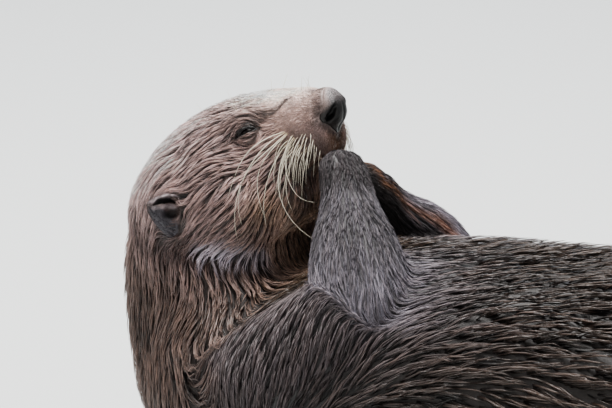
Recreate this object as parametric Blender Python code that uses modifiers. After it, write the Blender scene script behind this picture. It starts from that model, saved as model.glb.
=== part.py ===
"""Sea otter lying on its back, life size: head raised on a bent neck, both forepaws held up to the mouth,
hind flippers lifted and the tail laid straight out behind.

Units are metres. +X runs from the head to the tail, +Y to the animal's left, +Z up, and its belly faces up.
The flesh is modelled whole from lofted sections and rounded masses, fused into one surface, and then parted
with thin cuts into the pieces that a person would name.
"""

import math

import bmesh
import bpy
from mathutils import Matrix, Vector

# ---- driving dimensions -------------------------------------------------------------------------------------
GAP = 0.0004            # width of the thin cuts between touching pieces
FLOOR_SINK = 0.006      # how much of the back's curve is pressed flat by the animal's weight
HEAD_CENTRE = Vector((0.0, 0.0, 0.228))   # between the ears
HEAD_PITCH = math.radians(33)             # the muzzle points this far above the level
NOSE_REACH = 0.120      # from the head's centre to the tip of the nose
HEAD_HALF_WIDTH = 0.064
NECK_HALF_WIDTH = 0.067
TRUNK_HALF_WIDTH = 0.130
TRUNK_DEPTH = 0.218
RUMP_X = 0.700          # where the trunk narrows to the tail
TAIL_TIP_X = 1.020
EYE_RADIUS = 0.0075
EYE_AT = Vector((0.0636, 0.0344, 0.0169))   # in the head's own frame, left side
EAR_BASE = Vector((0.0015, 0.0560, -0.0100))
EAR_TIP = Vector((-0.0065, 0.0775, 0.0070))
EAR_HEIGHT = 0.036      # along its root, from the front fold down to the lobe

BODY_VOXEL = 0.003
FINE_VOXEL = 0.002
BODY_TRIANGLES = 2450
COARSENING_OF_HEAD = 0.99   # how readily the head's triangles are thinned out, next to 1 for the trunk
FORELIMB_TRIANGLES = 380
FLIPPER_TRIANGLES = 380

HEAD_FRAME = Matrix.Translation(HEAD_CENTRE) @ Matrix.Rotation(-HEAD_PITCH, 4, "Y")

# Where the joints of each forelimb are, with Y measured away from the middle. The right paw is at the mouth and
# the left one is held a little lower, against it.
SHOULDER = Vector((0.098, 0.084, 0.122))
RIGHT_ARM = {"elbow": Vector((0.158, 0.078, 0.180)), "wrist": Vector((0.1155, 0.0265, 0.2455)),
             "tip": Vector((0.1035, 0.0145, 0.2650)), "slimmer": 0.0}
LEFT_ARM = {"elbow": Vector((0.137, 0.080, 0.170)), "wrist": Vector((0.1120, 0.0300, 0.2220)),
            "tip": Vector((0.0985, 0.0150, 0.2495)), "slimmer": 0.22}

# The hind limbs mirror each other.
HIP = Vector((0.625, 0.088, 0.100))
KNEE = Vector((0.672, 0.118, 0.128))
ANKLE = Vector((0.765, 0.112, 0.132))
FLIPPER_AIM = Vector((0.70, 0.30, 0.62)).normalized()
FLIPPER_LENGTH = 0.205
FLIPPER_WIDTH = 0.112


# ---- modelling helpers --------------------------------------------------------------------------------------
SIDES = ((1, "left", LEFT_ARM), (-1, "right", RIGHT_ARM))


def mirrored(point, side):
    """The left side's point, or its mirror image for side -1."""
    return Vector((point.x, point.y * side, point.z))


def new_object(name, bm, collection):
    bmesh.ops.recalc_face_normals(bm, faces=bm.faces)
    mesh = bpy.data.meshes.new(name)
    bm.to_mesh(mesh)
    bm.free()
    obj = bpy.data.objects.new(name, mesh)
    collection.objects.link(obj)
    return obj


def ball(name, centre, radii, collection, turn=None, segments=24):
    """An ellipsoid; turn is its own 3x3 orientation."""
    bm = bmesh.new()
    bmesh.ops.create_uvsphere(bm, u_segments=segments, v_segments=segments // 2, radius=1.0)
    place = Matrix.Translation(centre) @ (turn.to_4x4() if turn else Matrix.Identity(4))
    bmesh.ops.transform(bm, matrix=place @ Matrix.Diagonal((*radii, 1.0)), verts=bm.verts)
    return new_object(name, bm, collection)


def block(name, centre, half_sizes, collection, turn=None):
    bm = bmesh.new()
    bmesh.ops.create_cube(bm, size=2.0)
    place = Matrix.Translation(centre) @ (turn.to_4x4() if turn else Matrix.Identity(4))
    bmesh.ops.transform(bm, matrix=place @ Matrix.Diagonal((*half_sizes, 1.0)), verts=bm.verts)
    return new_object(name, bm, collection)


def drum(name, start, end, radius, collection, growth=0.0, segments=14):
    """A cylinder from start to end, swollen all round by growth, used to carve a limb off the body."""
    along = end - start
    bm = bmesh.new()
    bmesh.ops.create_cone(bm, cap_ends=True, segments=segments, radius1=radius + growth, radius2=radius + growth,
                          depth=along.length + 2 * growth)
    place = Matrix.Translation((start + end) / 2) @ along.to_track_quat("Z", "Y").to_matrix().to_4x4()
    bmesh.ops.transform(bm, matrix=place, verts=bm.verts)
    return new_object(name, bm, collection)


def blend(a, b, c, d, t):
    """Catmull-Rom value between b and c, for numbers and vectors."""
    slope = (c - a) * (0.5 * t)
    bend = (a * 2 - b * 5 + c * 4 - d) * (0.5 * t ** 2)
    twist = (b * 3 - a - c * 3 + d) * (0.5 * t ** 3)
    return b + slope + bend + twist


def between(sections, steps):
    """Sections with steps - 1 more smooth ones in each stretch."""
    ends = [sections[0], *sections, sections[-1]]
    found = []
    for i in range(len(sections) - 1):
        for k in range(steps):
            around = ends[i:i + 4]
            found.append([blend(*(s[j] for s in around), k / steps) for j in range(len(sections[0]))])
    return [*found, list(sections[-1])]


def loft(name, sections, collection, segments=28, steps=4, power=2.2):
    """A closed body through sections of (centre, half-width vector, upward vector, downward vector).
    power above 2 makes each section a little squarer than an ellipse."""
    bm = bmesh.new()
    rings = []
    for centre, across, up, down in between(sections, steps):
        ring = []
        for k in range(segments):
            c, s = math.cos(math.tau * k / segments), math.sin(math.tau * k / segments)
            wide = math.copysign(abs(c) ** (2 / power), c)
            high = abs(s) ** (2 / power)
            ring.append(bm.verts.new(centre + across * wide + (up if s > 0 else down) * high))
        rings.append(ring)
    for low, high in zip(rings, rings[1:]):
        for k in range(segments):
            n = (k + 1) % segments
            bm.faces.new((low[k], low[n], high[n], high[k]))
    bm.faces.new(rings[0])
    bm.faces.new(rings[-1])
    return new_object(name, bm, collection)


def limb(name, stations, collection, flat=1.0, flat_axis=Vector((0, 0, 1)), steps=4):
    """A tapering limb through (point, radius) stations. flat thins it along flat_axis, and a station's third
    number, where it has one, thins it there instead."""
    sections = []
    for i, (point, radius, *own_flat) in enumerate(stations):
        flat_here = own_flat[0] if own_flat else flat
        before, after = stations[max(i - 1, 0)][0], stations[min(i + 1, len(stations) - 1)][0]
        along = (after - before).normalized()
        up = (flat_axis - along * flat_axis.dot(along)).normalized()
        across = along.cross(up) * radius
        thick = up * radius * flat_here
        sections.append((point, across, thick, -thick))
    return loft(name, sections, collection, segments=18, steps=steps, power=2.0)


def apply_modifiers(obj):
    """Bakes the object's modifiers into its mesh."""
    graph = bpy.context.evaluated_depsgraph_get()
    baked = bpy.data.meshes.new_from_object(obj.evaluated_get(graph))
    obj.modifiers.clear()
    obj.data = baked
    return obj


def drop(*objects):
    for obj in objects:
        bpy.data.objects.remove(obj)


def join(name, pieces, collection):
    bm = bmesh.new()
    for piece in pieces:
        bm.from_mesh(piece.data)
    mesh = bpy.data.meshes.new(name)
    bm.to_mesh(mesh)
    bm.free()
    drop(*pieces)
    obj = bpy.data.objects.new(name, mesh)
    collection.objects.link(obj)
    return obj


def fuse(name, pieces, collection, voxel, smoothing):
    """Overlapping pieces become one closed skin with softened creases."""
    obj = join(name, pieces, collection)
    remesh = obj.modifiers.new("fuse", "REMESH")
    remesh.mode = "VOXEL"
    remesh.voxel_size = voxel
    soften = obj.modifiers.new("soften", "SMOOTH")
    soften.factor = 0.5
    soften.iterations = smoothing
    return apply_modifiers(obj)


def thin_out(obj, triangles, group=""):
    """Reduces the mesh to about that many triangles, keeping its form; group is where to take most from."""
    now = sum(len(face.vertices) - 2 for face in obj.data.polygons)
    fewer = obj.modifiers.new("fewer", "DECIMATE")
    fewer.ratio = min(1.0, triangles / now)
    fewer.use_collapse_triangulate = True
    fewer.vertex_group = group
    return apply_modifiers(obj)


def boolean(obj, cutter, operation):
    step = obj.modifiers.new(operation.lower(), "BOOLEAN")
    step.operation = operation
    step.object = cutter
    step.solver = "EXACT"
    return apply_modifiers(obj)


def grown(obj, distance, collection):
    """A copy whose surface stands off by distance, to cut a neighbour with a gap."""
    copy = bpy.data.objects.new(obj.name + "_grown", obj.data.copy())
    collection.objects.link(copy)
    swell = copy.modifiers.new("swell", "DISPLACE")
    swell.direction = "NORMAL"
    swell.strength = distance
    swell.mid_level = 0.0
    return apply_modifiers(copy)


def duplicate(obj, name, collection):
    copy = bpy.data.objects.new(name, obj.data.copy())
    collection.objects.link(copy)
    return copy


def seat(body, piece, collection):
    """Cuts a place for the piece's root into the body, with a gap all round it."""
    swollen = grown(piece, GAP * 1.3, collection)
    boolean(body, swollen, "DIFFERENCE")
    drop(swollen)


def carve(body, name, region, region_with_gap, collection):
    """Parts the piece of body inside region from the rest, with the gap between them."""
    piece = boolean(duplicate(body, name, collection), region, "INTERSECT")
    boolean(body, region_with_gap, "DIFFERENCE")
    drop(region, region_with_gap)
    return piece


# ---- the flesh ----------------------------------------------------------------------------------------------
def head_point(x, y, z):
    return HEAD_FRAME @ Vector((x, y, z))


def head_sections():
    """Cross-sections of the skull's flesh in the head's frame, from the muzzle to the nape:
    distance forward, top, bottom and half-width, as shares of the nose's reach and the half-width."""
    profile = (
        (0.893, 0.165, -0.050, 0.16),
        (0.855, 0.212, -0.120, 0.29),
        (0.790, 0.246, -0.205, 0.42),
        (0.670, 0.292, -0.285, 0.50),
        (0.540, 0.347, -0.350, 0.63),
        (0.360, 0.389, -0.430, 0.82),
        (0.150, 0.405, -0.475, 0.97),
        (-0.060, 0.378, -0.490, 1.02),
        (-0.260, 0.305, -0.470, 0.95),
        (-0.410, 0.210, -0.400, 0.78),
        (-0.495, 0.110, -0.290, 0.53),
    )
    turn = HEAD_FRAME.to_3x3()
    sections = []
    for forward, top, bottom, half in profile:
        middle = (top + bottom) / 2
        rise = turn @ Vector((0, 0, (top - bottom) / 2 * NOSE_REACH))
        centre = HEAD_FRAME @ Vector((forward * NOSE_REACH, 0, middle * NOSE_REACH))
        sections.append((centre, Vector((0, half * HEAD_HALF_WIDTH, 0)), rise, -rise))
    return sections


def head_masses(collection):
    """The rounded forms on the skull: cheeks, whisker pads, brows and chin."""
    turn = HEAD_FRAME.to_3x3()
    pieces = [loft("skull", head_sections(), collection)]
    masses = (
        ("cheek", (0.014, 0.040, -0.020), (0.044, 0.028, 0.034)),
        ("jowl", (0.050, 0.026, -0.030), (0.030, 0.020, 0.022)),
        ("whisker_pad", (0.0810, 0.0160, -0.0085), (0.0170, 0.0170, 0.0150)),
        ("muzzle_side", (0.079, 0.0155, 0.010), (0.020, 0.013, 0.017)),
        ("brow", (0.056, 0.0265, 0.0270), (0.021, 0.0125, 0.0085)),
    )
    for name, at, radii in masses:
        for side in (1, -1):
            pieces.append(ball(name, head_point(at[0], at[1] * side, at[2]), radii, collection, turn))
    pieces.append(ball("chin", head_point(0.081, 0, -0.030), (0.018, 0.016, 0.011), collection, turn))
    pieces.append(ball("lower_jaw_mass", head_point(0.058, 0, -0.036), (0.034, 0.027, 0.016), collection, turn))
    return pieces


def trunk_sections():
    """Neck and trunk, as the dorsal and ventral points of each section in the XZ plane and its half-width."""
    outline = (
        ((-0.048, 0.232), (0.060, 0.222), NECK_HALF_WIDTH * 0.90),
        ((-0.057, 0.196), (0.066, 0.200), NECK_HALF_WIDTH),
        ((-0.054, 0.138), (0.073, 0.186), NECK_HALF_WIDTH * 1.14),
        ((-0.027, 0.066), (0.090, 0.190), TRUNK_HALF_WIDTH * 0.76),
        ((0.030, 0.014), (0.116, 0.200), TRUNK_HALF_WIDTH * 0.88),
        ((0.105, -FLOOR_SINK), (0.155, 0.208), TRUNK_HALF_WIDTH * 0.93),
        ((0.200, -FLOOR_SINK), (0.215, 0.212), TRUNK_HALF_WIDTH * 0.95),
        ((0.320, -FLOOR_SINK), (0.320, TRUNK_DEPTH), TRUNK_HALF_WIDTH),
        ((0.440, -FLOOR_SINK), (0.440, TRUNK_DEPTH), TRUNK_HALF_WIDTH * 1.03),
        ((0.550, -FLOOR_SINK), (0.545, 0.205), TRUNK_HALF_WIDTH * 0.98),
        ((0.630, -FLOOR_SINK), (0.620, 0.172), TRUNK_HALF_WIDTH * 0.82),
        ((RUMP_X, -FLOOR_SINK * 0.6), (0.690, 0.122), TRUNK_HALF_WIDTH * 0.58),
        ((0.755, -FLOOR_SINK * 0.5), (0.750, 0.072), TRUNK_HALF_WIDTH * 0.34),
    )
    sections = []
    for (x0, z0), (x1, z1), half in outline:
        dorsal, ventral = Vector((x0, 0, z0)), Vector((x1, 0, z1))
        rise = (ventral - dorsal) / 2
        sections.append(((dorsal + ventral) / 2, Vector((0, half, 0)), rise, -rise))
    return sections


def tail_sections():
    """The tail lies flat on the floor: thick for most of its length, then rounded off."""
    length = TAIL_TIP_X - RUMP_X
    shape = ((0.00, 0.046, 0.090), (0.20, 0.037, 0.062), (0.40, 0.032, 0.050), (0.60, 0.029, 0.043),
             (0.78, 0.025, 0.036), (0.91, 0.019, 0.027), (0.98, 0.011, 0.016), (1.00, 0.005, 0.010))
    sections = []
    for share, half, thick in shape:
        middle = (thick - FLOOR_SINK * 0.5) / 2
        rise = Vector((0, 0, (thick + FLOOR_SINK * 0.5) / 2))
        sections.append((Vector((RUMP_X + share * length, 0, middle)), Vector((0, half, 0)), rise, -rise))
    return sections


def body_pieces(collection):
    pieces = [
        loft("trunk_and_neck", trunk_sections(), collection, segments=36, power=2.3),
        loft("tail_mass", tail_sections(), collection, segments=20, power=2.1),
        *head_masses(collection),
    ]
    for side, label, arm in SIDES:
        shoulder, elbow = mirrored(SHOULDER, side), mirrored(arm["elbow"], side)
        pieces.append(limb("upper_arm_mass", (
            (shoulder - Vector((0.02, 0, 0.03)), 0.030), (shoulder, 0.044),
            (shoulder.lerp(elbow, 0.55), 0.041), (elbow, 0.034), (elbow + Vector((0.010, 0, 0.005)), 0.018),
        ), collection))
        hip, knee, ankle = (mirrored(p, side) for p in (HIP, KNEE, ANKLE))
        pieces.append(ball("thigh_mass", hip, (0.082, 0.050, 0.074), collection))
        pieces.append(limb("shank_mass", (
            (hip, 0.050), (knee, 0.044), (knee.lerp(ankle, 0.5), 0.034), (ankle, 0.0265),
            (ankle + (ankle - knee) * 0.12, 0.022),
        ), collection))
    return pieces


def make_body(collection):
    """The fused flesh, with the head and neck kept finer than the trunk."""
    body = fuse("body", body_pieces(collection), collection, BODY_VOXEL, smoothing=7)
    group = body.vertex_groups.new(name="coarse")
    for vertex in body.data.vertices:
        on_head = vertex.co.x < 0.125 and vertex.co.z > 0.15
        group.add([vertex.index], COARSENING_OF_HEAD if on_head else 1.0, "REPLACE")
    return thin_out(body, BODY_TRIANGLES, group.name)


# ---- limbs' ends --------------------------------------------------------------------------------------------
def make_forelimb(side, arm, collection):
    """Forearm and mitten-like paw, raised to the mouth. The wet coat widens the forearm towards the elbow, and
    five short toes end in small claws."""
    elbow, wrist, tip = (mirrored(arm[name], side) for name in ("elbow", "wrist", "tip"))
    along = (tip - wrist).normalized()
    palm = Vector((-0.80, -0.50 * side, 0))              # the palm faces the throat and the other paw
    palm = (palm - along * palm.dot(along)).normalized()
    across = along.cross(palm)
    widening = ((1.30, 0.0120), (1.22, 0.0220), (1.10, 0.0300), (0.95, 0.0340), (0.75, 0.0350), (0.58, 0.0330),
                (0.40, 0.0290), (0.25, 0.0235), (0.10, 0.0200), (0.00, 0.0188))
    stations = [(wrist.lerp(elbow, share), radius * (1 - arm["slimmer"] * share)) for share, radius in widening]
    stations.append((wrist.lerp(tip, 0.45), 0.0172))
    pieces = [
        limb("forearm_mass", stations, collection, flat=0.90, flat_axis=palm),
        ball("palm_mass", wrist.lerp(tip, 0.55), (0.0175, 0.0130, 0.0170), collection,
             Matrix((across, palm, along)).transposed()),
    ]
    for k in range(5):
        spread = (k - 2) / 2
        root = wrist.lerp(tip, 0.50) + across * spread * 0.0110
        end = tip + across * spread * 0.0120 - along * (0.0035 * spread * spread) + palm * 0.004
        pieces.append(limb("toe", ((root, 0.0060), (root.lerp(end, 0.6) - palm * 0.001, 0.0058),
                                   (end, 0.0046), (end + (end - root) * 0.10, 0.0026)), collection))
    fused = fuse("forelimb", pieces, collection, FINE_VOXEL, smoothing=5)
    return thin_out(fused, FORELIMB_TRIANGLES)


def flipper_axes(side):
    """The flipper's own directions: along the toes, across them to the outer side, and out of its back."""
    along = mirrored(FLIPPER_AIM, side)
    outward = Vector((-0.30, side * 0.94, 0.10))
    outward = (outward - along * outward.dot(along)).normalized()
    return along, outward, along.cross(outward) * side


def make_flipper(side, collection):
    """Broad webbed hind foot. The toes fan out and lengthen towards the outer, fifth toe."""
    along, outward, back = flipper_axes(side)
    ankle = mirrored(ANKLE, side)
    heel = ankle + along * 0.006
    pieces = [limb("instep", ((heel - along * 0.030, 0.0250, 0.95), (heel, 0.0255, 0.92),
                              (heel + along * 0.030, 0.0262, 0.70), (heel + along * 0.065, 0.0300, 0.48),
                              (heel + along * 0.100, 0.0300, 0.34), (heel + along * 0.135, 0.0200, 0.22)),
                   collection, flat_axis=back)]
    tips = []
    for k in range(5):
        spread = (k - 2) / 2                             # -1 is the inner toe, +1 the outer one
        reach = FLIPPER_LENGTH * (0.86 + 0.07 * (spread + 1))
        root = heel + outward * spread * 0.017 + along * 0.020
        knuckle = heel + outward * spread * FLIPPER_WIDTH * 0.34 + along * reach * 0.60 + back * 0.002
        tip = heel + outward * spread * FLIPPER_WIDTH * 0.46 + along * reach - back * 0.004
        tips.append((root, knuckle, tip))
        pieces.append(limb("toe", ((root, 0.0100), (knuckle, 0.0076), (knuckle.lerp(tip, 0.6), 0.0066),
                                   (tip, 0.0050), (tip + (tip - knuckle) * 0.06, 0.0024)), collection))
    for (root_a, knuckle_a, tip_a), (root_b, knuckle_b, tip_b) in zip(tips, tips[1:]):
        sections = []
        for share, thick in ((0.0, 0.0075), (0.35, 0.0062), (0.7, 0.0050), (1.0, 0.0036)):
            a = root_a.lerp(knuckle_a, share / 0.7) if share <= 0.7 else knuckle_a.lerp(tip_a, 0.86)
            b = root_b.lerp(knuckle_b, share / 0.7) if share <= 0.7 else knuckle_b.lerp(tip_b, 0.86)
            sections.append(((a + b) / 2, (b - a) * 0.56, back * thick, -back * thick))
        pieces.append(loft("web", sections, collection, segments=12, steps=4, power=3.0))
    fused = fuse("flipper", pieces, collection, FINE_VOXEL, smoothing=4)
    return thin_out(fused, FLIPPER_TRIANGLES)


def make_ear(side, collection):
    """A small thick leaf that narrows from its long root to a blunt tip drawn back and up."""
    turn = HEAD_FRAME.to_3x3()
    base, tip = mirrored(EAR_BASE, side), mirrored(EAR_TIP, side)
    along_root = Vector((0.68, 0, 0.74))
    across = (tip - base).cross(along_root).normalized()
    sections = []
    for share, long, thick in ((0.0, 0.50, 0.0085), (0.40, 0.43, 0.0078), (0.70, 0.31, 0.0062), (0.90, 0.17, 0.0042),
                               (1.00, 0.06, 0.0020)):
        centre = base.lerp(tip, share) - along_root * 0.003 * (1 - share)
        rise = turn @ (across * thick)
        sections.append((HEAD_FRAME @ centre, turn @ (along_root * long * EAR_HEIGHT), rise, -rise))
    return loft("ear", sections, collection, segments=12, steps=2, power=2.0)


def hollow_out(ear, side, collection):
    """The ear's opening, on its front and outer side."""
    lean = HEAD_FRAME.to_3x3() @ Matrix.Rotation(math.radians(42), 3, "Y")
    at = Vector(((EAR_BASE.x + EAR_TIP.x) / 2 + 0.0080, 0.0715 * side, (EAR_BASE.z + EAR_TIP.z) / 2))
    hollow = ball("ear_hollow", HEAD_FRAME @ at, (0.0060, 0.0080, 0.0115), collection, lean, segments=10)
    boolean(ear, hollow, "DIFFERENCE")
    drop(hollow)


def make_nose(collection, growth=0.0):
    """The bare black pad: broad above, narrowing to the groove of the lip below."""
    turn = HEAD_FRAME.to_3x3()
    radii = (0.0110 + growth, 0.0130 + growth, 0.0140 + growth)
    return ball("nose", head_point(0.1080, 0, 0.0085), radii, collection, turn, segments=14)


# ---- parting the flesh into named pieces --------------------------------------------------------------------
def half_space(name, point, normal, collection, gap=0.0, size=0.6):
    """A big block on the far side of a plane, moved back by gap."""
    turn = normal.to_track_quat("Z", "Y").to_matrix()
    return block(name, point + normal.normalized() * (size - gap), (size, size, size), collection, turn)


def slab(name, corners, collection, growth=0.0, half_width=0.4):
    """A block across the body whose outline in the XZ plane is the convex row of corners, given anticlockwise and
    moved outward by growth."""
    points = [Vector(corner) for corner in corners]
    normals = []
    for a, b in zip(points, points[1:] + points[:1]):
        edge = (b - a).normalized()
        normals.append(Vector((edge.y, -edge.x)))
    bm = bmesh.new()
    outline = []
    for k, point in enumerate(points):
        before, after = normals[k - 1], normals[k]
        moved = point + (before + after) * growth / (1 + before.dot(after))
        outline.append(bm.verts.new((moved.x, -half_width, moved.y)))
    face = bm.faces.new(outline)
    sides = bmesh.ops.extrude_face_region(bm, geom=[face])["geom"]
    bmesh.ops.translate(bm, vec=(0, 2 * half_width, 0), verts=[g for g in sides if isinstance(g, bmesh.types.BMVert)])
    return new_object(name, bm, collection)


def part_body(body, collection):
    """Splits the fused flesh. Every cut is made twice, the second time wider by the gap."""
    nodes = []
    for side, label, arm in SIDES:
        shoulder, elbow = mirrored(SHOULDER, side), mirrored(arm["elbow"], side)
        outward = Vector((0, side * 0.012, 0))
        sleeve = [drum("arm_region", shoulder.lerp(elbow, -0.55) + outward, shoulder.lerp(elbow, 1.45) + outward,
                       0.050, collection, gap) for gap in (0.0, GAP)]
        nodes.append(carve(body, "upper_arm_" + label, *sleeve, collection))
        groin = Vector((0.660, side * 0.0865, 0.100))
        flank = Vector((0.318, side * 0.948, 0))
        whole_leg = [half_space("leg_region", groin, flank, collection, gap, 0.16) for gap in (0.0, GAP)]
        thigh = carve(body, "thigh_" + label, *whole_leg, collection)
        knee, ankle = mirrored(KNEE, side), mirrored(ANKLE, side)
        shank_axis = (ankle - knee).normalized()
        below_knee = [half_space("shank_region", knee.lerp(ankle, 0.18), shank_axis, collection, gap, 0.2)
                      for gap in (0.0, GAP)]
        nodes.append(carve(thigh, "lower_leg_" + label, *below_knee, collection))
        nodes.append(thigh)
    cuts = (
        ("head", ((0.074, 0.1885), (0.300, 0.275), (0.300, 0.500), (-0.300, 0.500), (-0.300, 0.246))),
        ("neck", ((0.000, -0.100), (0.010, 0.020), (0.074, 0.1885), (0.074, 0.400), (-0.300, 0.400),
                  (-0.300, -0.100))),
        ("tail", ((RUMP_X + 0.045, -0.1), (1.2, -0.1), (1.2, 0.3), (RUMP_X + 0.045, 0.3))),
        ("hips", ((0.545, -0.1), (1.2, -0.1), (1.2, 0.4), (0.545, 0.4))),
        ("chest", ((-0.3, -0.1), (0.290, -0.1), (0.290, 0.4), (-0.3, 0.4))),
    )
    for name, corners in cuts:
        region = [slab(name + "_region", corners, collection, gap) for gap in (0.0, GAP)]
        nodes.append(carve(body, name, *region, collection))
    body.name = "belly"
    nodes.append(body)
    return {node.name: node for node in nodes}


def part_jaw(head, collection):
    """The mouth is a thin cut from the lips to its corner, and the jaw ends below the cheek."""
    turn = HEAD_FRAME.to_3x3()
    slope = Matrix.Rotation(math.radians(-7), 3, "Y")
    mouth_corner = Vector((0.056, 0, -0.0265))
    regions = []
    for extra in (0.0, GAP):
        half = Vector((0.045, 0.060, 0.040))
        centre = mouth_corner + slope @ Vector((half.x - extra, 0, -half.z + extra))
        regions.append(block("jaw_region", HEAD_FRAME @ centre, half, collection, turn @ slope))
    return carve(head, "lower_jaw", *regions, collection)


def level_floor(obj, collection):
    """Presses flat whatever would sink below the floor."""
    floor = block("floor_region", Vector((0.4, 0, -0.5)), (1.5, 0.6, 0.5), collection)
    boolean(obj, floor, "DIFFERENCE")
    drop(floor)


def make_solids(collection):
    body = make_body(collection)
    level_floor(body, collection)
    nodes = {}

    for side, label, arm in SIDES:
        forelimb = make_forelimb(side, arm, collection)
        seat(body, forelimb, collection)
        wrist, tip = mirrored(arm["wrist"], side), mirrored(arm["tip"], side)
        along = (tip - wrist).normalized()
        paw = [half_space("paw_region", wrist + along * 0.002, along, collection, gap) for gap in (0.0, GAP)]
        nodes["forepaw_" + label] = carve(forelimb, "forepaw_" + label, *paw, collection)
        forelimb.name = "forearm_" + label
        ear = make_ear(side, collection)
        seat(body, ear, collection)
        hollow_out(ear, side, collection)
        ear.name = "ear_" + label
        for node in (forelimb, ear):
            nodes[node.name] = node

    for side, label, arm in SIDES:
        at = head_point(EYE_AT.x, EYE_AT.y * side, EYE_AT.z)
        nodes["eye_" + label] = ball("eye_" + label, at, (EYE_RADIUS,) * 3, collection, segments=12)
        socket = ball("socket", at, (EYE_RADIUS + GAP,) * 3, collection, segments=12)
        boolean(body, socket, "DIFFERENCE")
        drop(socket)
    nodes["nose"] = make_nose(collection)
    recess = make_nose(collection, GAP)
    boolean(body, recess, "DIFFERENCE")
    drop(recess)

    nodes.update(part_body(body, collection))
    nodes["lower_jaw"] = part_jaw(nodes["head"], collection)

    for side, label, arm in SIDES:
        along = flipper_axes(side)[0]
        ankle = mirrored(ANKLE, side)
        foot = make_flipper(side, collection)
        behind = half_space("ankle_region", ankle, -along, collection, GAP / 2)
        boolean(foot, behind, "DIFFERENCE")
        drop(behind)
        ahead = half_space("ankle_region", ankle, along, collection, GAP / 2, size=0.12)
        boolean(nodes["lower_leg_" + label], ahead, "DIFFERENCE")
        drop(ahead)
        foot.name = "hind_foot_" + label
        nodes[foot.name] = foot
    return nodes


# ---- finishes -----------------------------------------------------------------------------------------------
def material(name, colour, roughness):
    made = bpy.data.materials.new(name)
    made.use_nodes = True
    surface = made.node_tree.nodes["Principled BSDF"]
    surface.inputs["Base Color"].default_value = (*colour, 1.0)
    surface.inputs["Roughness"].default_value = roughness
    surface.inputs["Metallic"].default_value = 0.0
    made.diffuse_color = (*colour, 1.0)
    return made


def paint(nodes):
    pale = material("pale_head_fur", (0.30, 0.24, 0.20), 0.7)
    dark = material("dark_body_fur", (0.055, 0.040, 0.032), 0.7)
    grey = material("grey_forelimb_fur", (0.16, 0.14, 0.14), 0.7)
    pad = material("black_nose_pad", (0.012, 0.011, 0.012), 0.4)
    eye = material("dark_eye", (0.010, 0.008, 0.008), 0.1)
    for name, node in nodes.items():
        if name.startswith(("head", "ear", "lower_jaw")):
            finish = pale
        elif name.startswith(("forearm", "forepaw")):
            finish = grey
        elif name == "nose":
            finish = pad
        elif name.startswith("eye"):
            finish = eye
        else:
            finish = dark
        node.data.materials.clear()
        node.data.materials.append(finish)
        node.data.shade_smooth()
        node.data.set_sharp_from_angle(angle=math.radians(40))


def centre_over_origin(nodes):
    """Puts the origin on the floor below the middle of the whole animal."""
    xs = [v.co.x for n in nodes.values() for v in n.data.vertices]
    ys = [v.co.y for n in nodes.values() for v in n.data.vertices]
    zs = [v.co.z for n in nodes.values() for v in n.data.vertices]
    shift = Vector((-(min(xs) + max(xs)) / 2, -(min(ys) + max(ys)) / 2, -min(zs)))
    for node in nodes.values():
        node.data.transform(Matrix.Translation(shift))
    return shift


def main():
    for obj in list(bpy.data.objects):
        bpy.data.objects.remove(obj)
    collection = bpy.data.collections.new("sea_otter")
    bpy.context.scene.collection.children.link(collection)
    nodes = make_solids(collection)
    paint(nodes)
    centre_over_origin(nodes)


main()
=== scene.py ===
import math

import bpy
import numpy as np
from mathutils import Matrix, Vector
from mathutils.bvhtree import BVHTree
from mathutils.kdtree import KDTree


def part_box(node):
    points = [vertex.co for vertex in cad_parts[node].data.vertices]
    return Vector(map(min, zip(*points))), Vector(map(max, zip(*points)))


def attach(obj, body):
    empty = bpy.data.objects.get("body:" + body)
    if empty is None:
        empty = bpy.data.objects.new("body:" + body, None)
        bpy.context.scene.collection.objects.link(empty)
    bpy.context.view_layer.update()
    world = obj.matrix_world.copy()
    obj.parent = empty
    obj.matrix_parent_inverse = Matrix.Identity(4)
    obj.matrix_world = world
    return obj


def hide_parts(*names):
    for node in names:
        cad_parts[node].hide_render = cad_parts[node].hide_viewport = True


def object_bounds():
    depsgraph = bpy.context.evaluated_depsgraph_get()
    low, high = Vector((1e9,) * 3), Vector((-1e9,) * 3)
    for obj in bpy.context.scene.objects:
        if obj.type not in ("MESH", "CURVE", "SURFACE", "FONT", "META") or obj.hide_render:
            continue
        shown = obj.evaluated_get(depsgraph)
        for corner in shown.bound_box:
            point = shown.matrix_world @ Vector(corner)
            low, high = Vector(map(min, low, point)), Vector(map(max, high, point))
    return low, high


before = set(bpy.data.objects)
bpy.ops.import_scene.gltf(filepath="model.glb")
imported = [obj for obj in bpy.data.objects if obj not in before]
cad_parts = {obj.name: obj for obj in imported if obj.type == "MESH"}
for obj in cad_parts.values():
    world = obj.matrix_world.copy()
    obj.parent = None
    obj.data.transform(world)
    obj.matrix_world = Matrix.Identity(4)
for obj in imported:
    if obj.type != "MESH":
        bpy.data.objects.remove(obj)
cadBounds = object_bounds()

bpy.ops.object.select_all(action="DESELECT")


def linear(hexColour):
    # one sRGB hex value as linear red, green, blue
    parts = [int(hexColour[i : i + 2], 16) / 255 for i in (1, 3, 5)]
    return tuple(p / 12.92 if p <= 0.04045 else ((p + 0.055) / 1.055) ** 2.4 for p in parts)


def addNode(tree, kind, inputs=None, **settings):
    # adds one shader node, sets it up, and fills or links its sockets
    made = tree.nodes.new("ShaderNode" + kind)
    for name, value in settings.items():
        setattr(made, name, value)
    for name, value in (inputs or {}).items():
        if isinstance(value, bpy.types.NodeSocket):
            tree.links.new(value, made.inputs[name])
        else:
            made.inputs[name].default_value = value
    return made


def unit(vectors):
    # every row of an array scaled to length one
    return vectors / np.maximum(np.linalg.norm(vectors, axis=-1, keepdims=True), 1e-12)


def ease(values, start, end):
    # 0 before start, 1 after end, and smooth between
    t = np.clip((values - start) / (end - start), 0, 1)
    return t * t * (3 - 2 * t)


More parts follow.
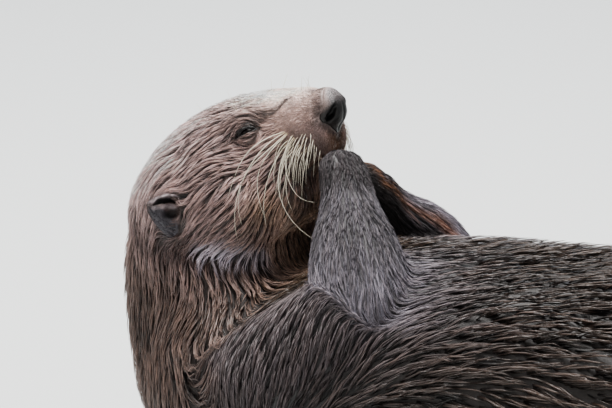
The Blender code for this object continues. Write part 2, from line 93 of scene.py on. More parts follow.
def spot(places, centre, reach):
    # a soft round spot of weight round a point
    return np.exp(-(np.linalg.norm((places - centre) / reach, axis=-1) ** 2))


def mirrored(places):
    # places in the head with those on its right side moved over to the left
    return np.abs(places * (0, 1, 0)) + places * (1, 0, 1)


def toChain(places, knots, reaches):
    # distance to a chain of points as a share of its reach there, where under 1 is inside,
    # and that reach
    knots, reaches = np.asarray(knots, float), np.asarray(reaches, float)
    nearest, reachHere = np.full(len(places), 1e3), np.full(len(places), reaches[0])
    for a, b, reachA, reachB in zip(knots, knots[1:], reaches, reaches[1:]):
        way = b - a
        part = np.clip((places - a) @ way / (way @ way), 0, 1)
        reach = reachA + (reachB - reachA) * part
        share = np.linalg.norm(places - a - part[:, None] * way, axis=1) / reach
        reachHere = np.where(share < nearest, reach, reachHere)
        nearest = np.minimum(nearest, share)
    return nearest, reachHere


def vertexPlaces(mesh):
    found = np.empty(len(mesh.vertices) * 3)
    mesh.vertices.foreach_get("co", found)
    return found.reshape(-1, 3)


def vertexNormals(mesh):
    found = np.empty(len(mesh.vertices) * 3)
    mesh.vertex_normals.foreach_get("vector", found)
    return found.reshape(-1, 3)


def setPlaces(mesh, places):
    mesh.vertices.foreach_set("co", places.ravel())
    mesh.update()


def writeVectors(mesh, name, values):
    made = mesh.attributes.new(name, "FLOAT_VECTOR", "POINT")
    made.data.foreach_set("vector", np.asarray(values, np.float32).ravel())


def pick(thing):
    # makes one object the only selected and the active one
    bpy.ops.object.select_all(action="DESELECT")
    thing.select_set(True)
    bpy.context.view_layer.objects.active = thing
    return thing


def finishWith(thing, kind, **settings):
    # adds a modifier and applies it
    pick(thing)
    made = thing.modifiers.new(kind.title(), kind)
    for name, value in settings.items():
        setattr(made, name, value)
    bpy.ops.object.modifier_apply(modifier=made.name)


def copyOfNodes(name, nodes):
    # one object that holds copies of CAD nodes, with their doubled corners merged
    copies = []
    for node in nodes:
        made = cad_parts[node].copy()
        made.data = made.data.copy()
        made.data.materials.clear()
        made.parent = None
        bpy.context.scene.collection.objects.link(made)
        copies.append(made)
    pick(copies[0])
    for made in copies:
        made.select_set(True)
    if len(copies) > 1:
        bpy.ops.object.join()
    made = bpy.context.view_layer.objects.active
    made.name = made.data.name = name
    bpy.ops.object.mode_set(mode="EDIT")
    bpy.ops.mesh.select_all(action="SELECT")
    bpy.ops.mesh.remove_doubles(threshold=1e-6)
    bpy.ops.object.mode_set(mode="OBJECT")
    return made


def selectFaces(thing, wanted):
    # face selection by an array of true and false, ready for edit mode
    mesh = thing.data
    mesh.polygons.foreach_set("select", wanted)
    mesh.vertices.foreach_set("select", np.zeros(len(mesh.vertices), bool))
    mesh.edges.foreach_set("select", np.zeros(len(mesh.edges), bool))
    bpy.context.tool_settings.mesh_select_mode = (False, False, True)


def faceCentres(mesh):
    found = np.empty(len(mesh.polygons) * 3)
    mesh.polygons.foreach_get("center", found)
    return found.reshape(-1, 3)


# The head's own axes: x to the nose, y to the animal's left, z to the crown. Its
# centre is found from the two eyes, whose places in the head are known.
headPlan = {"pitch": 33.0, "eyeAhead": 0.0636, "eyeUp": 0.0169, "eyeOut": 0.0344}
headAxes = np.array(Matrix.Rotation(math.radians(-headPlan["pitch"]), 3, "Y"))
eyeBoxes = [np.array(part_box(name)) for name in ("eye_left", "eye_right")]
eyeMiddle = sum(b.mean(axis=0) for b in eyeBoxes) / 2
headCentre = eyeMiddle - headAxes @ np.array([headPlan["eyeAhead"], 0, headPlan["eyeUp"]])


def toHead(places):
    return (places - headCentre) @ headAxes


def fromHead(places):
    return np.asarray(places) @ headAxes.T + headCentre


def boxMiddle(node):
    return np.array(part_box(node)).mean(axis=0)


# The bare nose pad, seen from the front: half as wide as given at each height, widest at
# the nostrils and drawn in below to the groove of the lip.
padPlan = {
    "heights": (-0.0100, -0.0064, -0.0026, 0.0008, 0.0030, 0.0060, 0.0120, 0.0160, 0.0190, 0.0208),
    "halves": (0.0008, 0.0046, 0.0088, 0.0124, 0.0131, 0.0127, 0.0108, 0.0084, 0.0048, 0.0000),
    "centre": (0.1010, 0.0, 0.0060),
    "back": 0.1015,
    "front": 0.1250,
    "edge": 0.0007,
}


def padShare(placesInHead, grow=0.0):
    # 1 on the bare pad, 0 off it, and soft over its edge; grow widens it
    ahead, aside, high = placesInHead.T
    heights, edge = padPlan["heights"], padPlan["edge"] + grow
    lowest, highest, front, back = heights[0], heights[-1], padPlan["front"], padPlan["back"]
    within = ease(np.interp(high, heights, padPlan["halves"]) + grow - np.abs(aside), -edge, edge)
    within = within * ease(high, lowest - grow - 0.001, lowest - grow * 0.5)
    within = within * (1 - ease(high, highest + grow * 0.5, highest + grow + 0.001))
    within = within * (1 - ease(ahead, front, front + 0.003))
    return within * ease(ahead, back - grow, back - grow + 0.002)


print("frame read, head centre at", np.round(headCentre, 4).tolist())


cameraPlan = {
    "azimuth": 30.0,
    "elevation": 15.0,
    "distance": 4.0,
    "widthSeen": 0.41616,  # metres across the view at the head
    "lookRight": 0.059296,  # from the head's centre to the middle of the view
    "lookDown": 0.012444,
}


def makeCamera(plan):
    turn, rise = math.radians(plan["azimuth"]), math.radians(plan["elevation"])
    right = Vector((math.cos(turn), math.sin(turn), 0))
    level = math.cos(rise)
    back = Vector((math.sin(turn) * level, -math.cos(turn) * level, math.sin(rise)))
    up = back.cross(right)
    aim = Vector(headCentre) + right * plan["lookRight"] - up * plan["lookDown"]
    bpy.ops.object.camera_add(location=aim + back * plan["distance"])
    camera = bpy.context.object
    camera.name = "studioCamera"
    camera.rotation_mode = "QUATERNION"
    camera.rotation_quaternion = back.to_track_quat("Z", "Y")
    camera.data.sensor_width = 36
    camera.data.lens = 36 * plan["distance"] / plan["widthSeen"]
    camera.data.clip_end = 100
    bpy.context.scene.camera = camera


makeCamera(cameraPlan)

lightPlan = {
    "sky": ("#e9eef2", 0.34),
    "lamps": [
        # name, place, aimed at, size, watts, colour
        ("skyPanel", (-0.6, 0.3, 2.3), (-0.35, 0, 0.1), 1.3, 182, "#fffdfb"),
        ("frontPanel", (-1.4, -2.6, 1.5), (-0.4, 0, 0.15), 1.4, 17, "#fff4ea"),
        ("backPanel", (-1.6, 2.0, 1.4), (-0.4, 0, 0.15), 1.2, 26, "#eef4ff"),
    ],
}

world = bpy.data.worlds.new("studioSky")
world.use_nodes = True
backdrop = world.node_tree.nodes["Background"]
backdrop.inputs["Color"].default_value = (*linear(lightPlan["sky"][0]), 1)
backdrop.inputs["Strength"].default_value = lightPlan["sky"][1]
bpy.context.scene.world = world
for name, place, aim, size, watts, colour in lightPlan["lamps"]:
    bpy.ops.object.light_add(type="AREA", location=place)
    lamp = bpy.context.object
    lamp.name = name
    lamp.rotation_mode = "QUATERNION"
    lamp.rotation_quaternion = (Vector(aim) - Vector(place)).to_track_quat("-Z", "Y")
    lamp.data.size = size
    lamp.data.energy = watts
    lamp.data.color = linear(colour)

bpy.ops.mesh.primitive_plane_add(size=40, location=(0, 0, cadBounds[0][2] - 0.0002))
floor = bpy.context.object
floor.name = "studioFloor"
floorPaint = bpy.data.materials.new("matteFloorPaint")  # rolled emulsion, no shine
floorPaint.use_nodes = True
paintTree = floorPaint.node_tree
paintPlaces = addNode(paintTree, "TexCoord")
paintGrain = addNode(paintTree, "TexNoise", {"Vector": paintPlaces.outputs["Object"], "Scale": 220.0})
paintRelief = {"Height": paintGrain.outputs["Fac"], "Strength": 0.05, "Distance": 0.001}
paintBump = addNode(paintTree, "Bump", paintRelief)
paintShader = paintTree.nodes["Principled BSDF"]
paintShader.inputs["Base Color"].default_value = (*linear("#d9dcdb"), 1)
paintShader.inputs["Roughness"].default_value = 0.85
paintTree.links.new(paintBump.outputs["Normal"], paintShader.inputs["Normal"])
floor.data.materials.append(floorPaint)
print("camera, lights and floor made")


allNodes = list(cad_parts)
skinPlan = {
    "voxel": 0.0020,
    "closeGap": 0.0004,  # grows each solid so that the parting gaps close
    "bodyShare": 0.10,  # of the faces behind the neck
    "smoothing": 7,
    "blendRounds": 14,
    "bodyFrom": 0.150,  # distance from the head's centre past which the skin is thinned
    "aroundNose": (0.103, 0.017, -0.012),  # finer skin ahead of, within and above these
    "aroundEye": 0.0125,
    "aroundEar": (0.0095, 0.0065),  # for the first and the second round of finer skin
    "earSmoothing": 0.35,  # ears are smoothed less than the rest
}

eyePlan = {
    "radius": 0.0073,
    "sink": 0.0010,  # set back from the solid's own eye
    "lid": 0.0009,
    "outward": (0.39, 0.86, 0.33),
    "slitSlope": 10.0,
    "slitHalf": 0.0058,
    "upperOpen": 0.0020,
    "lowerOpen": 0.0013,
    "slitDeep": 0.0022,  # how far the skin sinks behind the open slit
    "rimProud": 0.0004,
    "foldDeep": 0.0006,
    "bulge": 0.0005,  # of the cornea
}


def eyeFrame(side):
    # centre, slit direction, upward and outward directions of one eye; side is +1 for the left
    outward = np.array(eyePlan["outward"]) * (1, side, 1)
    outward = outward / np.linalg.norm(outward)
    slope = math.radians(eyePlan["slitSlope"])
    along = np.array([math.cos(slope), 0, math.sin(slope)])
    along = along - outward * (along @ outward)
    along /= np.linalg.norm(along)
    upward = np.cross(outward, along)
    upward *= np.sign(upward[2])
    centre = np.array([headPlan["eyeAhead"], side * headPlan["eyeOut"], headPlan["eyeUp"]])
    centre = centre - outward * eyePlan["sink"]
    return centre, along, upward, outward


def inSlit(placesInHead, side, grow=1.0):
    # how deep a point lies in the open slit of an eye: above 0 is inside
    centre, along, upward, outward = eyeFrame(side)
    q = placesInHead - centre
    a, b, n = q @ along, q @ upward, q @ outward
    room = 1 - (a / (eyePlan["slitHalf"] * grow)) ** 2
    high = np.where(b > 0, eyePlan["upperOpen"], eyePlan["lowerOpen"]) * grow
    inside = room - np.abs(b) / high
    return np.where((n > 0) & (np.abs(a) < eyePlan["slitHalf"] * grow), inside, -1.0)


# Each ear is a small curled leaf. The chains are given for the left ear, in the head.
earPlan = {
    "middle": [(-0.004, 0.076, 0.004), (0.002, 0.068, -0.006), (-0.004, 0.068, -0.016)],
    "cleft": [
        (-0.0022, 0.0768, 0.0056),
        (0.0017, 0.0745, 0.0058),
        (0.0050, 0.0690, 0.0040),
        (0.0072, 0.0645, 0.0010),
        (0.0102, 0.0630, -0.0028),
    ],
    "cleftWide": (0.0012, 0.0020, 0.0024, 0.0023, 0.0015),
    "cleftDeep": 2.3,  # times its width
    "bowl": (0.0018, 0.0680, -0.0050),
    "bowlWide": (0.0060, 0.0064, 0.0046),
    "bowlDeep": 0.0032,
    "outerRim": [
        (-0.0038, 0.0770, 0.0078),
        (0.0020, 0.0745, 0.0082),
        (0.0062, 0.0680, 0.0066),
        (0.0100, 0.0625, 0.0024),
    ],
    "innerRim": [(-0.0028, 0.0768, 0.0032), (0.0015, 0.0715, 0.0010), (0.0035, 0.0650, -0.0020)],
    "rimWide": 0.0019,
    "rimProud": 0.0009,
    "strip": [(-0.0035, 0.0760, 0.0005), (-0.0045, 0.0725, -0.0080), (-0.0075, 0.0650, -0.0185)],
}


def makeSkin(plan):
    skin = copyOfNodes("skin", allNodes)
    finishWith(skin, "DISPLACE", strength=plan["closeGap"], mid_level=0.0)
    finishWith(skin, "REMESH", mode="VOXEL", voxel_size=plan["voxel"])
    print("skin remeshed:", len(skin.data.polygons), "faces")
    centres = faceCentres(skin.data)
    far = np.linalg.norm(toHead(centres), axis=1) > plan["bodyFrom"]
    selectFaces(skin, far & (centres[:, 0] > headCentre[0] + 0.02))
    bpy.ops.object.mode_set(mode="EDIT")
    bpy.ops.mesh.decimate(ratio=plan["bodyShare"])
    bpy.ops.object.mode_set(mode="OBJECT")
    print("skin thinned behind the neck:", len(skin.data.polygons), "faces")
    noseBack, noseHalf, noseLow = plan["aroundNose"]
    for earReach in plan["aroundEar"]:
        near = toHead(faceCentres(skin.data))
        wanted = (near[:, 0] > noseBack) & (np.abs(near[:, 1]) < noseHalf) & (near[:, 2] > noseLow)
        for side in (-1, 1):
            wanted |= np.linalg.norm(near - eyeFrame(side)[0], axis=1) < plan["aroundEye"]
            wanted |= toChain(near * (1, side, 1), earPlan["middle"], [earReach] * 3)[0] < 1
        selectFaces(skin, wanted)
        bpy.ops.object.mode_set(mode="EDIT")
        bpy.ops.mesh.subdivide(number_cuts=1, smoothness=0)
        bpy.ops.object.mode_set(mode="OBJECT")
    finishWith(skin, "TRIANGULATE")
    thick = skin.vertex_groups.new(name="thick")
    lobes = toHead(vertexPlaces(skin.data))
    for number, place in enumerate(lobes):
        isEar = abs(place[0]) < 0.030 and abs(place[1]) > 0.061 and -0.036 < place[2] < 0.020
        thick.add([number], plan["earSmoothing"] if isEar else 1.0, "REPLACE")
    finishWith(skin, "SMOOTH", factor=0.5, iterations=plan["smoothing"], vertex_group="thick")
    return skin


skin = makeSkin(skinPlan)
print("skin has", len(skin.data.polygons), "triangles")

# which CAD node each skin point belongs to
nodeCorners, nodeFaces, nodeOfFace = [], [], []
for number, name in enumerate(allNodes):
    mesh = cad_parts[name].data
    first = len(nodeCorners)
    nodeCorners += [v.co.copy() for v in mesh.vertices]
    nodeFaces += [[first + i for i in face.vertices] for face in mesh.polygons]
    nodeOfFace += [number] * len(mesh.polygons)
nodeTree = BVHTree.FromPolygons(nodeCorners, nodeFaces)
nodeOfFace = np.array(nodeOfFace)
skinPlaces = vertexPlaces(skin.data)
found = [nodeTree.find_nearest(Vector(p))[2] for p in skinPlaces]
belongs = nodeOfFace[np.array(found)]
edgeEnds = np.empty(len(skin.data.edges) * 2, int)
skin.data.edges.foreach_get("vertices", edgeEnds)
edgeEnds = edgeEnds.reshape(-1, 2)
neighbours = np.maximum(np.bincount(edgeEnds.ravel(), minlength=len(skinPlaces)), 1)
print("skin points matched to the CAD nodes")


def spread(values, rounds, hold=0.0):
    # averages values over the skin's edges a number of times
    values = np.array(values, float)
    flat = values.reshape(len(values), -1)
    for _ in range(rounds):
        total = np.stack(
            [
                np.bincount(edgeEnds[:, 0], column[edgeEnds[:, 1]], len(flat))
                + np.bincount(edgeEnds[:, 1], column[edgeEnds[:, 0]], len(flat))
                for column in flat.T
            ],
            axis=1,
        )
        flat = hold * flat + (1 - hold) * total / neighbours[:, None]
    return flat.reshape(values.shape)


# Each kind of coat, in millimetres: depth over the skin, tuft length and width, space
# between clumps, then how far clumps draw together, how wavy they are, and the colour.
coatKinds = {
    "head": (2.3, 15, 0.72, 3.6, 0.95, 0.6, "#ad918c"),
    "lower_jaw": (1.6, 11, 0.9, 3.0, 0.6, 0.4, "#7d6250"),
    "neck": (3.2, 24, 1.2, 5.0, 0.9, 0.6, "#57463f"),
    "chest": (5.0, 30, 1.8, 8.0, 0.9, 0.9, "#30261f"),
    "belly": (5.5, 33, 1.9, 9.0, 0.9, 0.9, "#2b211c"),
    "hips": (5.5, 33, 1.9, 9.0, 0.9, 0.9, "#291f1a"),
    "thigh": (4.2, 30, 2.0, 7.5, 0.9, 0.8, "#271e19"),
    "lower_leg": (2.8, 20, 1.6, 5.5, 0.8, 0.6, "#261d19"),
    "hind_foot": (0.5, 5.5, 0.9, 3.0, 0.3, 0.1, "#241d1b"),
    "tail": (4.6, 27, 1.8, 7.0, 0.85, 0.8, "#251c17"),
    "upper_arm": (2.6, 19, 1.3, 4.5, 0.7, 0.6, "#3d3536"),
    "forearm": (1.6, 17, 0.62, 3.6, 0.7, 0.5, "#7a747d"),
    "forepaw": (1.0, 9, 0.55, 3.0, 0.6, 0.3, "#3d3639"),
    "ear": (0.25, 2.8, 0.42, 2.0, 0.3, 0.1, "#2e292b"),
    "nose": (0.6, 3, 0.5, 2.0, 0.2, 0.1, "#5a4c46"),
    "eye": (0.6, 4, 0.6, 2.0, 0.2, 0.1, "#3a2c26"),
}


def kindOf(node):
    for kind in coatKinds:
        if node == kind or node.startswith(kind + "_"):
            return kind
    return node


kinds = [kindOf(name) for name in allNodes]
sizesByNode = np.array([coatKinds[kind][:6] for kind in kinds])
coloursByNode = np.array([linear(coatKinds[kind][6]) for kind in kinds])
inHead = toHead(skinPlaces)
skinNormals = vertexNormals(skin.data)
kindNow = np.array(kinds)[belongs]
sideNow = np.where(skinPlaces[:, 1] < 0, -1, 1)
isHead = np.isin(kindNow, ["head", "ear", "lower_jaw", "nose", "eye"])

# sizes of the coat, softened where one kind meets the next; the short coat runs further back on
# the bridge of the nose
coat = spread(sizesByNode[belongs], 10)
shortFrom = 0.086 - 0.022 * ease(inHead[:, 2], 0.022, 0.042)
muzzle = ease(inHead[:, 0] - shortFrom, -0.008, 0.004) * ease(inHead[:, 2], -0.030, -0.012) * isHead
eyeNear = sum(spot(inHead, eyeFrame(s)[0], 0.021) for s in (-1, 1)) * isHead
faceFront = ease(inHead[:, 0], 0.010, 0.060) * isHead
shortFace = np.array([0.45, 2.8, 0.38, 2.2, 0.35, 0.06])  # in the order of coatKinds
midFace = np.array([1.5, 10.0, 0.7, 3.0, 0.9, 0.4])
coat += (midFace - coat) * np.clip(eyeNear * 0.9 + faceFront * 0.35, 0, 1)[:, None]
coat += (shortFace - coat) * muzzle[:, None]
coat[:, 5] += 1.3 * sum(spot(inHead, (-0.004, side * 0.062, -0.042), 0.030) for side in (-1, 1))
coat[:, [0, 1, 2, 3, 5]] *= 0.001


def flowRound(flow, places, normals, centre, radius):
    # turns a flow so that it parts before a round thing and closes behind it
    offset = places - centre
    offset = offset - normals * np.sum(offset * normals, axis=1, keepdims=True)
    ahead = np.sum(offset * flow, axis=1)
    across = np.cross(normals, flow)
    aside = np.sum(offset * across, axis=1)
    squared = np.maximum(ahead**2 + aside**2, (radius * 0.9) ** 2)
    pull = radius**2 / squared**2
    fade = np.exp(-np.linalg.norm(places - centre, axis=1) / (3.2 * radius))
    change = -(ahead**2 - aside**2) * pull * fade
    turn = -2 * ahead * aside * pull * fade
    return unit(flow * (1 + change)[:, None] + across * turn[:, None] + flow * 0.05)


def layFlat(vectors, normals):
    # directions turned into the surface
    return unit(vectors - normals * np.sum(vectors * normals, axis=1, keepdims=True))


# The hair of the head runs back from the nose and droops the more the further back it lies.
# On the body it runs to the tail, and on each limb along it.
combPlan = {
    "noseTip": (0.118, 0, 0.006),
    "droop": (0.12, 0.95),  # at the face, and added behind the eyes
    "eyeRound": 0.0085,  # radius of what the hair parts round
    "earRoot": (0.000, 0.060, -0.006),
    "earRound": 0.011,
    "armFan": 32,
    "sway": 0.20,  # locks of the wet head swing to either side
    "swayRounds": 36,
}
down = np.array([0.0, 0.0, -1.0])
tailward = np.array([1.0, 0.0, 0.0])
fromNose = unit(skinPlaces - fromHead(combPlan["noseTip"]))
behindEye = ease(-inHead[:, 0], -0.05, 0.055)
flow = np.tile(tailward, (len(skinPlaces), 1))
faceDroop, backDroop = combPlan["droop"]
headFlow = unit(fromNose + down * (faceDroop + backDroop * behindEye)[:, None])
flow[isHead] = headFlow[isHead]
neckNow = kindNow == "neck"
flow[neckNow] = unit(tailward * 0.35 + down)
bodyNow = np.isin(kindNow, ["chest", "belly", "hips", "tail"])
flow[bodyNow] = unit(tailward + down * 0.18)


def limbFlow(kind, side, start, end):
    # lays the coat of one limb from start towards end
    wanted = (kindNow == kind) & (sideNow == side)
    flow[wanted] = unit(np.asarray(end, float) - start)


for side, word in ((-1, "right"), (1, "left")):
    shoulder = boxMiddle("upper_arm_" + word)
    elbow = boxMiddle("forearm_" + word)
    paw = boxMiddle("forepaw_" + word)
    limbFlow("upper_arm", side, shoulder, elbow)
    limbFlow("forearm", side, paw, elbow)
    limbFlow("forepaw", side, paw, elbow)
    hip, shin = boxMiddle("thigh_" + word), boxMiddle("lower_leg_" + word)
    foot = boxMiddle("hind_foot_" + word)
    limbFlow("thigh", side, hip, shin)
    limbFlow("lower_leg", side, shin, foot)
    limbFlow("hind_foot", side, shin, foot)
    # the forearm's fur fans outwards from the middle of the arm as it runs to the elbow
    arm = (kindNow == "forearm") & (sideNow == side)
    axis = unit(elbow - paw)
    off = skinPlaces - elbow
    off = off - np.outer(off @ axis, axis)
    flow[arm] = unit(axis + off[arm] * combPlan["armFan"])
    ear = (kindNow == "ear") & (sideNow == side)
    flow[ear] = unit(skinPlaces[ear] - fromHead([0.004, side * 0.052, -0.018]))

flow = layFlat(flow, skinNormals)
flow = layFlat(spread(flow, skinPlan["blendRounds"]), skinNormals)
# wet locks swing to either side of the lie, over about a centimetre
swayRng = np.random.default_rng(11)
sway = spread(swayRng.normal(size=len(flow)), combPlan["swayRounds"])
sway = combPlan["sway"] * sway / sway.std() * (isHead | neckNow) * (1 - muzzle)
flow = unit(flow + np.cross(skinNormals, flow) * sway[:, None])
for side in (-1, 1):
    centre, along, upward, outward = eyeFrame(side)
    eyeFront = fromHead(centre + outward * 0.006)
    flow[isHead] = flowRound(flow, skinPlaces, skinNormals, eyeFront, combPlan["eyeRound"])[isHead]
    earRoot = fromHead(np.array(combPlan["earRoot"]) * (1, side, 1))
    notEar = isHead & (kindNow != "ear")
    flow[notEar] = flowRound(flow, skinPlaces, skinNormals, earRoot, combPlan["earRound"])[notEar]
flow = layFlat(spread(flow, 3), skinNormals)
print("lie of the coat combed")


# colours of the markings, and of the highlights and shade painted among them
marksAndPaintedLight = {
    "muzzleTop": "#b6968c",
    # painted highlight: the near-white top of the nose's bridge, where light from above is brightest
    "bridge": "#fbe6dc",
    "pads": "#4f423c",
    "brow": "#7d645e",
    # the head's pale fur, lighter still on top as a painted highlight from above
    "paleCrownAndHighlight": "#c9aeac",
    "cheek": "#866c67",
    # painted shade: the lower cheeks darker, away from the light above
    "lowCheekShade": "#5c4c4a",
    "underEar": "#382522",
    "throat": "#795e41",
    # painted light: a pale streak under the cheek, where the chin shades the neck
    "neckBandLight": "#a99fa9",
    # painted shade: the far arm's inner side, which faces the near arm
    "farArmShade": "#140f0e",
    # painted highlight: the lit edge of the far arm
    "farArmRimLight": "#82573a",
    "eyeRim": "#171110",
    # painted shade in the hollow round each eye
    "eyeHollowShade": "#4a3a35",
    # painted shade in the cleft and bowl of each ear
    "earHollowShade": "#100c0d",
    "earRim": "#8d8082",
    "earStrip": "#454248",
    "lipEdge": "#8a6242",
    "mouth": "#1d1211",
    "backDark": "#1f1714",
    "padRim": "#665a57",
    # dark wet fur between the jaw and the arm, with painted shade where the arm blocks the light
    "chin": "#3b2b27",
    # painted shade in the creases and folds of the face
    "crease": "#2b201d",
    "pawDark": "#2f2a2c",
}


# Creases of the face, given for its left side, run from the eye's front corner up to the bridge,
# back from its rear corner and over it. A fold with painted shade runs down before the ear.
facePlan = {
    "creases": [
        [
            (0.0655, 0.0375, 0.0188),
            (0.0703, 0.0335, 0.0197),
            (0.0766, 0.0282, 0.0212),
            (0.0860, 0.0222, 0.0232),
            (0.0925, 0.0140, 0.0264),
        ],
        [
            (0.0594, 0.0408, 0.0186),
            (0.0543, 0.0412, 0.0188),
            (0.0474, 0.0438, 0.0198),
            (0.0410, 0.0455, 0.0185),
        ],
        [
            (0.0505, 0.0410, 0.0225),
            (0.0591, 0.0372, 0.0248),
            (0.0679, 0.0350, 0.0240),
            (0.0735, 0.0300, 0.0222),
        ],
        [
            (0.0580, 0.0340, 0.0320),
            (0.0663, 0.0337, 0.0291),
            (0.0738, 0.0291, 0.0262),
            (0.0811, 0.0242, 0.0250),
        ],
    ],
    "creaseWide": 0.0020,
    "creaseDeep": 0.0011,
    "mouthDeep": 0.0016,
    "beforeEar": [
        (0.0110, 0.062, 0.001),
        (0.0085, 0.064, -0.010),
        (0.0040, 0.064, -0.020),
        (-0.0030, 0.063, -0.027),
    ],
    "beforeEarWide": 0.0062,
    # a streak of painted light runs forward under the cheek to the throat, where the chin shades it
    "band": [(0.012, 0.064, -0.036), (0.021, 0.059, -0.041), (0.032, 0.040, -0.053)],
    "bandWide": (0.007, 0.010, 0.008),
    "padRimWide": 0.0036,
}


def headSpot(x, y, z, reach):
    # a soft spot on both sides of the head
    return sum(spot(inHead, np.array([x, side * y, z]), reach) for side in (-1, 1)) * isHead


def onSlits(grow, start, end):
    # weight round the open slits of both eyes
    return sum(ease(inSlit(inHead, side, grow), start, end) for side in (-1, 1))


leftHead = inHead * np.stack([np.ones(len(inHead)), sideNow, np.ones(len(inHead))], axis=1)
beforeEar, _ = toChain(leftHead, facePlan["beforeEar"], [facePlan["beforeEarWide"]] * 4)
isEarNow = spread(kindNow == "ear", 1)
stripShare, _ = toChain(leftHead, earPlan["strip"], (0.005, 0.007, 0.008))
rimShares = [
    toChain(leftHead, earPlan[rimName], [earPlan["rimWide"]] * len(earPlan[rimName]))[0]
    for rimName in ("outerRim", "innerRim")
]
cleftShare, cleftReach = toChain(leftHead, earPlan["cleft"], earPlan["cleftWide"])
bowlShare = np.linalg.norm((leftHead - earPlan["bowl"]) / earPlan["bowlWide"], axis=1)
# the ear's cleft and bowl, which are left bare and take painted shade
earDark = np.maximum(1 - ease(cleftShare, 0.7, 1.25), 0.85 * (1 - ease(bowlShare, 0.5, 1.1)))
# the line of the mouth runs back from under the nose between the head and the lower jaw
isUpper, isLower = (kindNow == "head").astype(float), (kindNow == "lower_jaw").astype(float)
mouthLine = np.clip(spread(isUpper, 2) * spread(isLower, 2) * 4, 0, 1) * ease(inHead[:, 0], 0.066, 0.078)
bandShare, _ = toChain(leftHead, facePlan["band"], facePlan["bandWide"])
dorsal = np.isin(kindNow, ["chest", "belly", "hips"]) * ease(-skinNormals[:, 2], 0.0, 0.7)
armNow = np.isin(kindNow, ["forearm", "forepaw"])
leftArm, rightArm = (spread((armNow & (sideNow * side > 0)).astype(float), 3) for side in (1, -1))
# the band along the far arm's edge that takes a painted highlight
armRimLightBand = np.exp(-(((-skinNormals[:, 1]) - 0.12) / 0.16) ** 2)
# painted shade along the creases of the face, whose mask also sinks them
creaseDark = np.zeros(len(inHead))
for crease in facePlan["creases"]:
    share, _ = toChain(leftHead, crease, [facePlan["creaseWide"]] * len(crease))
    creaseDark = np.maximum(creaseDark, (1 - ease(share, 0.3, 1.3)) * isHead)

# layers of colour, each over the ones before it, some of them painted highlights and painted shade: the mark,
# and its weight at each point
colourLayers = [
    # pale fur of the crown, with a painted highlight on top
    ("paleCrownAndHighlight", headSpot(0.0, 0.02, 0.045, 0.045) * 0.8),
    ("cheek", headSpot(0.03, 0.058, -0.012, 0.03) * 0.8),
    ("brow", headSpot(0.062, 0.03, 0.03, 0.022) * 0.8),
    ("muzzleTop", ease(inHead[:, 0], 0.066, 0.084) * ease(inHead[:, 2], -0.008, 0.012) * isHead),
    # painted highlight on the bridge of the nose
    ("bridge", headSpot(0.084, 0.0, 0.034, (0.030, 0.018, 0.014))),
    ("pads", headSpot(0.088, 0.022, -0.012, 0.017) * 0.9),
    # painted shade on the lower cheeks
    ("lowCheekShade", headSpot(0.02, 0.055, -0.045, 0.034) * 0.8),
    ("underEar", headSpot(-0.004, 0.060, -0.040, 0.024) * 0.9),
    # painted shade in the fold before the ear
    ("crease", (1 - ease(beforeEar, 0.4, 1.2)) * isHead * 0.92),
    ("underEar", headSpot(0.001, 0.060, -0.031, 0.015) * 0.5),
    ("underEar", headSpot(-0.034, 0.058, -0.004, (0.013, 0.02, 0.020)) * 0.75),
    ("underEar", headSpot(-0.050, 0.035, -0.035, (0.030, 0.040, 0.030)) * 0.55),
    # dark fur and painted shade between the chin and the arm
    ("chin", headSpot(0.079, 0.026, -0.030, (0.016, 0.014, 0.020)) * 0.9),
    ("throat", headSpot(0.057, 0.045, -0.028, (0.014, 0.014, 0.013)) * 0.6),
    ("lipEdge", headSpot(0.106, 0.004, -0.012, 0.009) * 0.6),
    ("throat", spot(inHead, (0.045, 0.0, -0.060), (0.03, 0.05, 0.024)) * 0.75),
    # painted shade in the hollow round each eye
    ("eyeHollowShade", onSlits(2.6, -0.35, 0.35) * 0.85),
    ("eyeRim", onSlits(1.75, -0.2, 0.25)),
    ("earStrip", (1 - ease(stripShare, 0.75, 1.15)) * isEarNow),
    *[("earRim", (1 - ease(rimShare, 0.4, 1.2)) * isEarNow) for rimShare in rimShares],
    # painted shade in the hollow of the ear
    ("earHollowShade", earDark * spread(isHead, 1)),
    ("lipEdge", spread(mouthLine, 3) * 1.1 * ease(inHead[:, 0], 0.080, 0.092)),
    ("mouth", mouthLine),
    # painted light under the cheek
    ("neckBandLight", (1 - ease(bandShare, 0.3, 1.3)) * 0.85),
    ("backDark", spread(dorsal.astype(float), 4) * 0.7),
    # painted highlight on the far arm's lit edge
    ("farArmRimLight", leftArm * armRimLightBand * 0.75),
    # painted shade on the far arm's side that faces the near arm
    ("farArmShade", leftArm * ease(-skinNormals[:, 1], 0.05, 0.45) * 0.92),
    ("pawDark", rightArm * ease(skinPlaces[:, 2], 0.200, 0.235) * 0.7),
    # painted shade in the creases of the face
    ("crease", creaseDark * 0.7),
    ("padRim", padShare(inHead, facePlan["padRimWide"]) * isHead * 0.92),
]
tints = spread(coloursByNode[belongs], 12)
tints += (spread(tints, 60) - tints) * spread((isHead | neckNow).astype(float), 20)[:, None]
for name, weights in colourLayers:
    tints = tints + (np.array(linear(marksAndPaintedLight[name])) - tints) * np.clip(weights, 0, 1)[:, None]
# soft mottling, a few millimetres and about a centimetre across
mottleRng = np.random.default_rng(7)
for rounds, amount in ((5, 0.07), (40, 0.06)):
    mottle = spread(mottleRng.normal(size=len(tints)), rounds)
    tints = tints * np.clip(1 + amount * (1 + muzzle) * mottle / mottle.std(), 0.6, 1.5)[:, None]
skinTints = tints

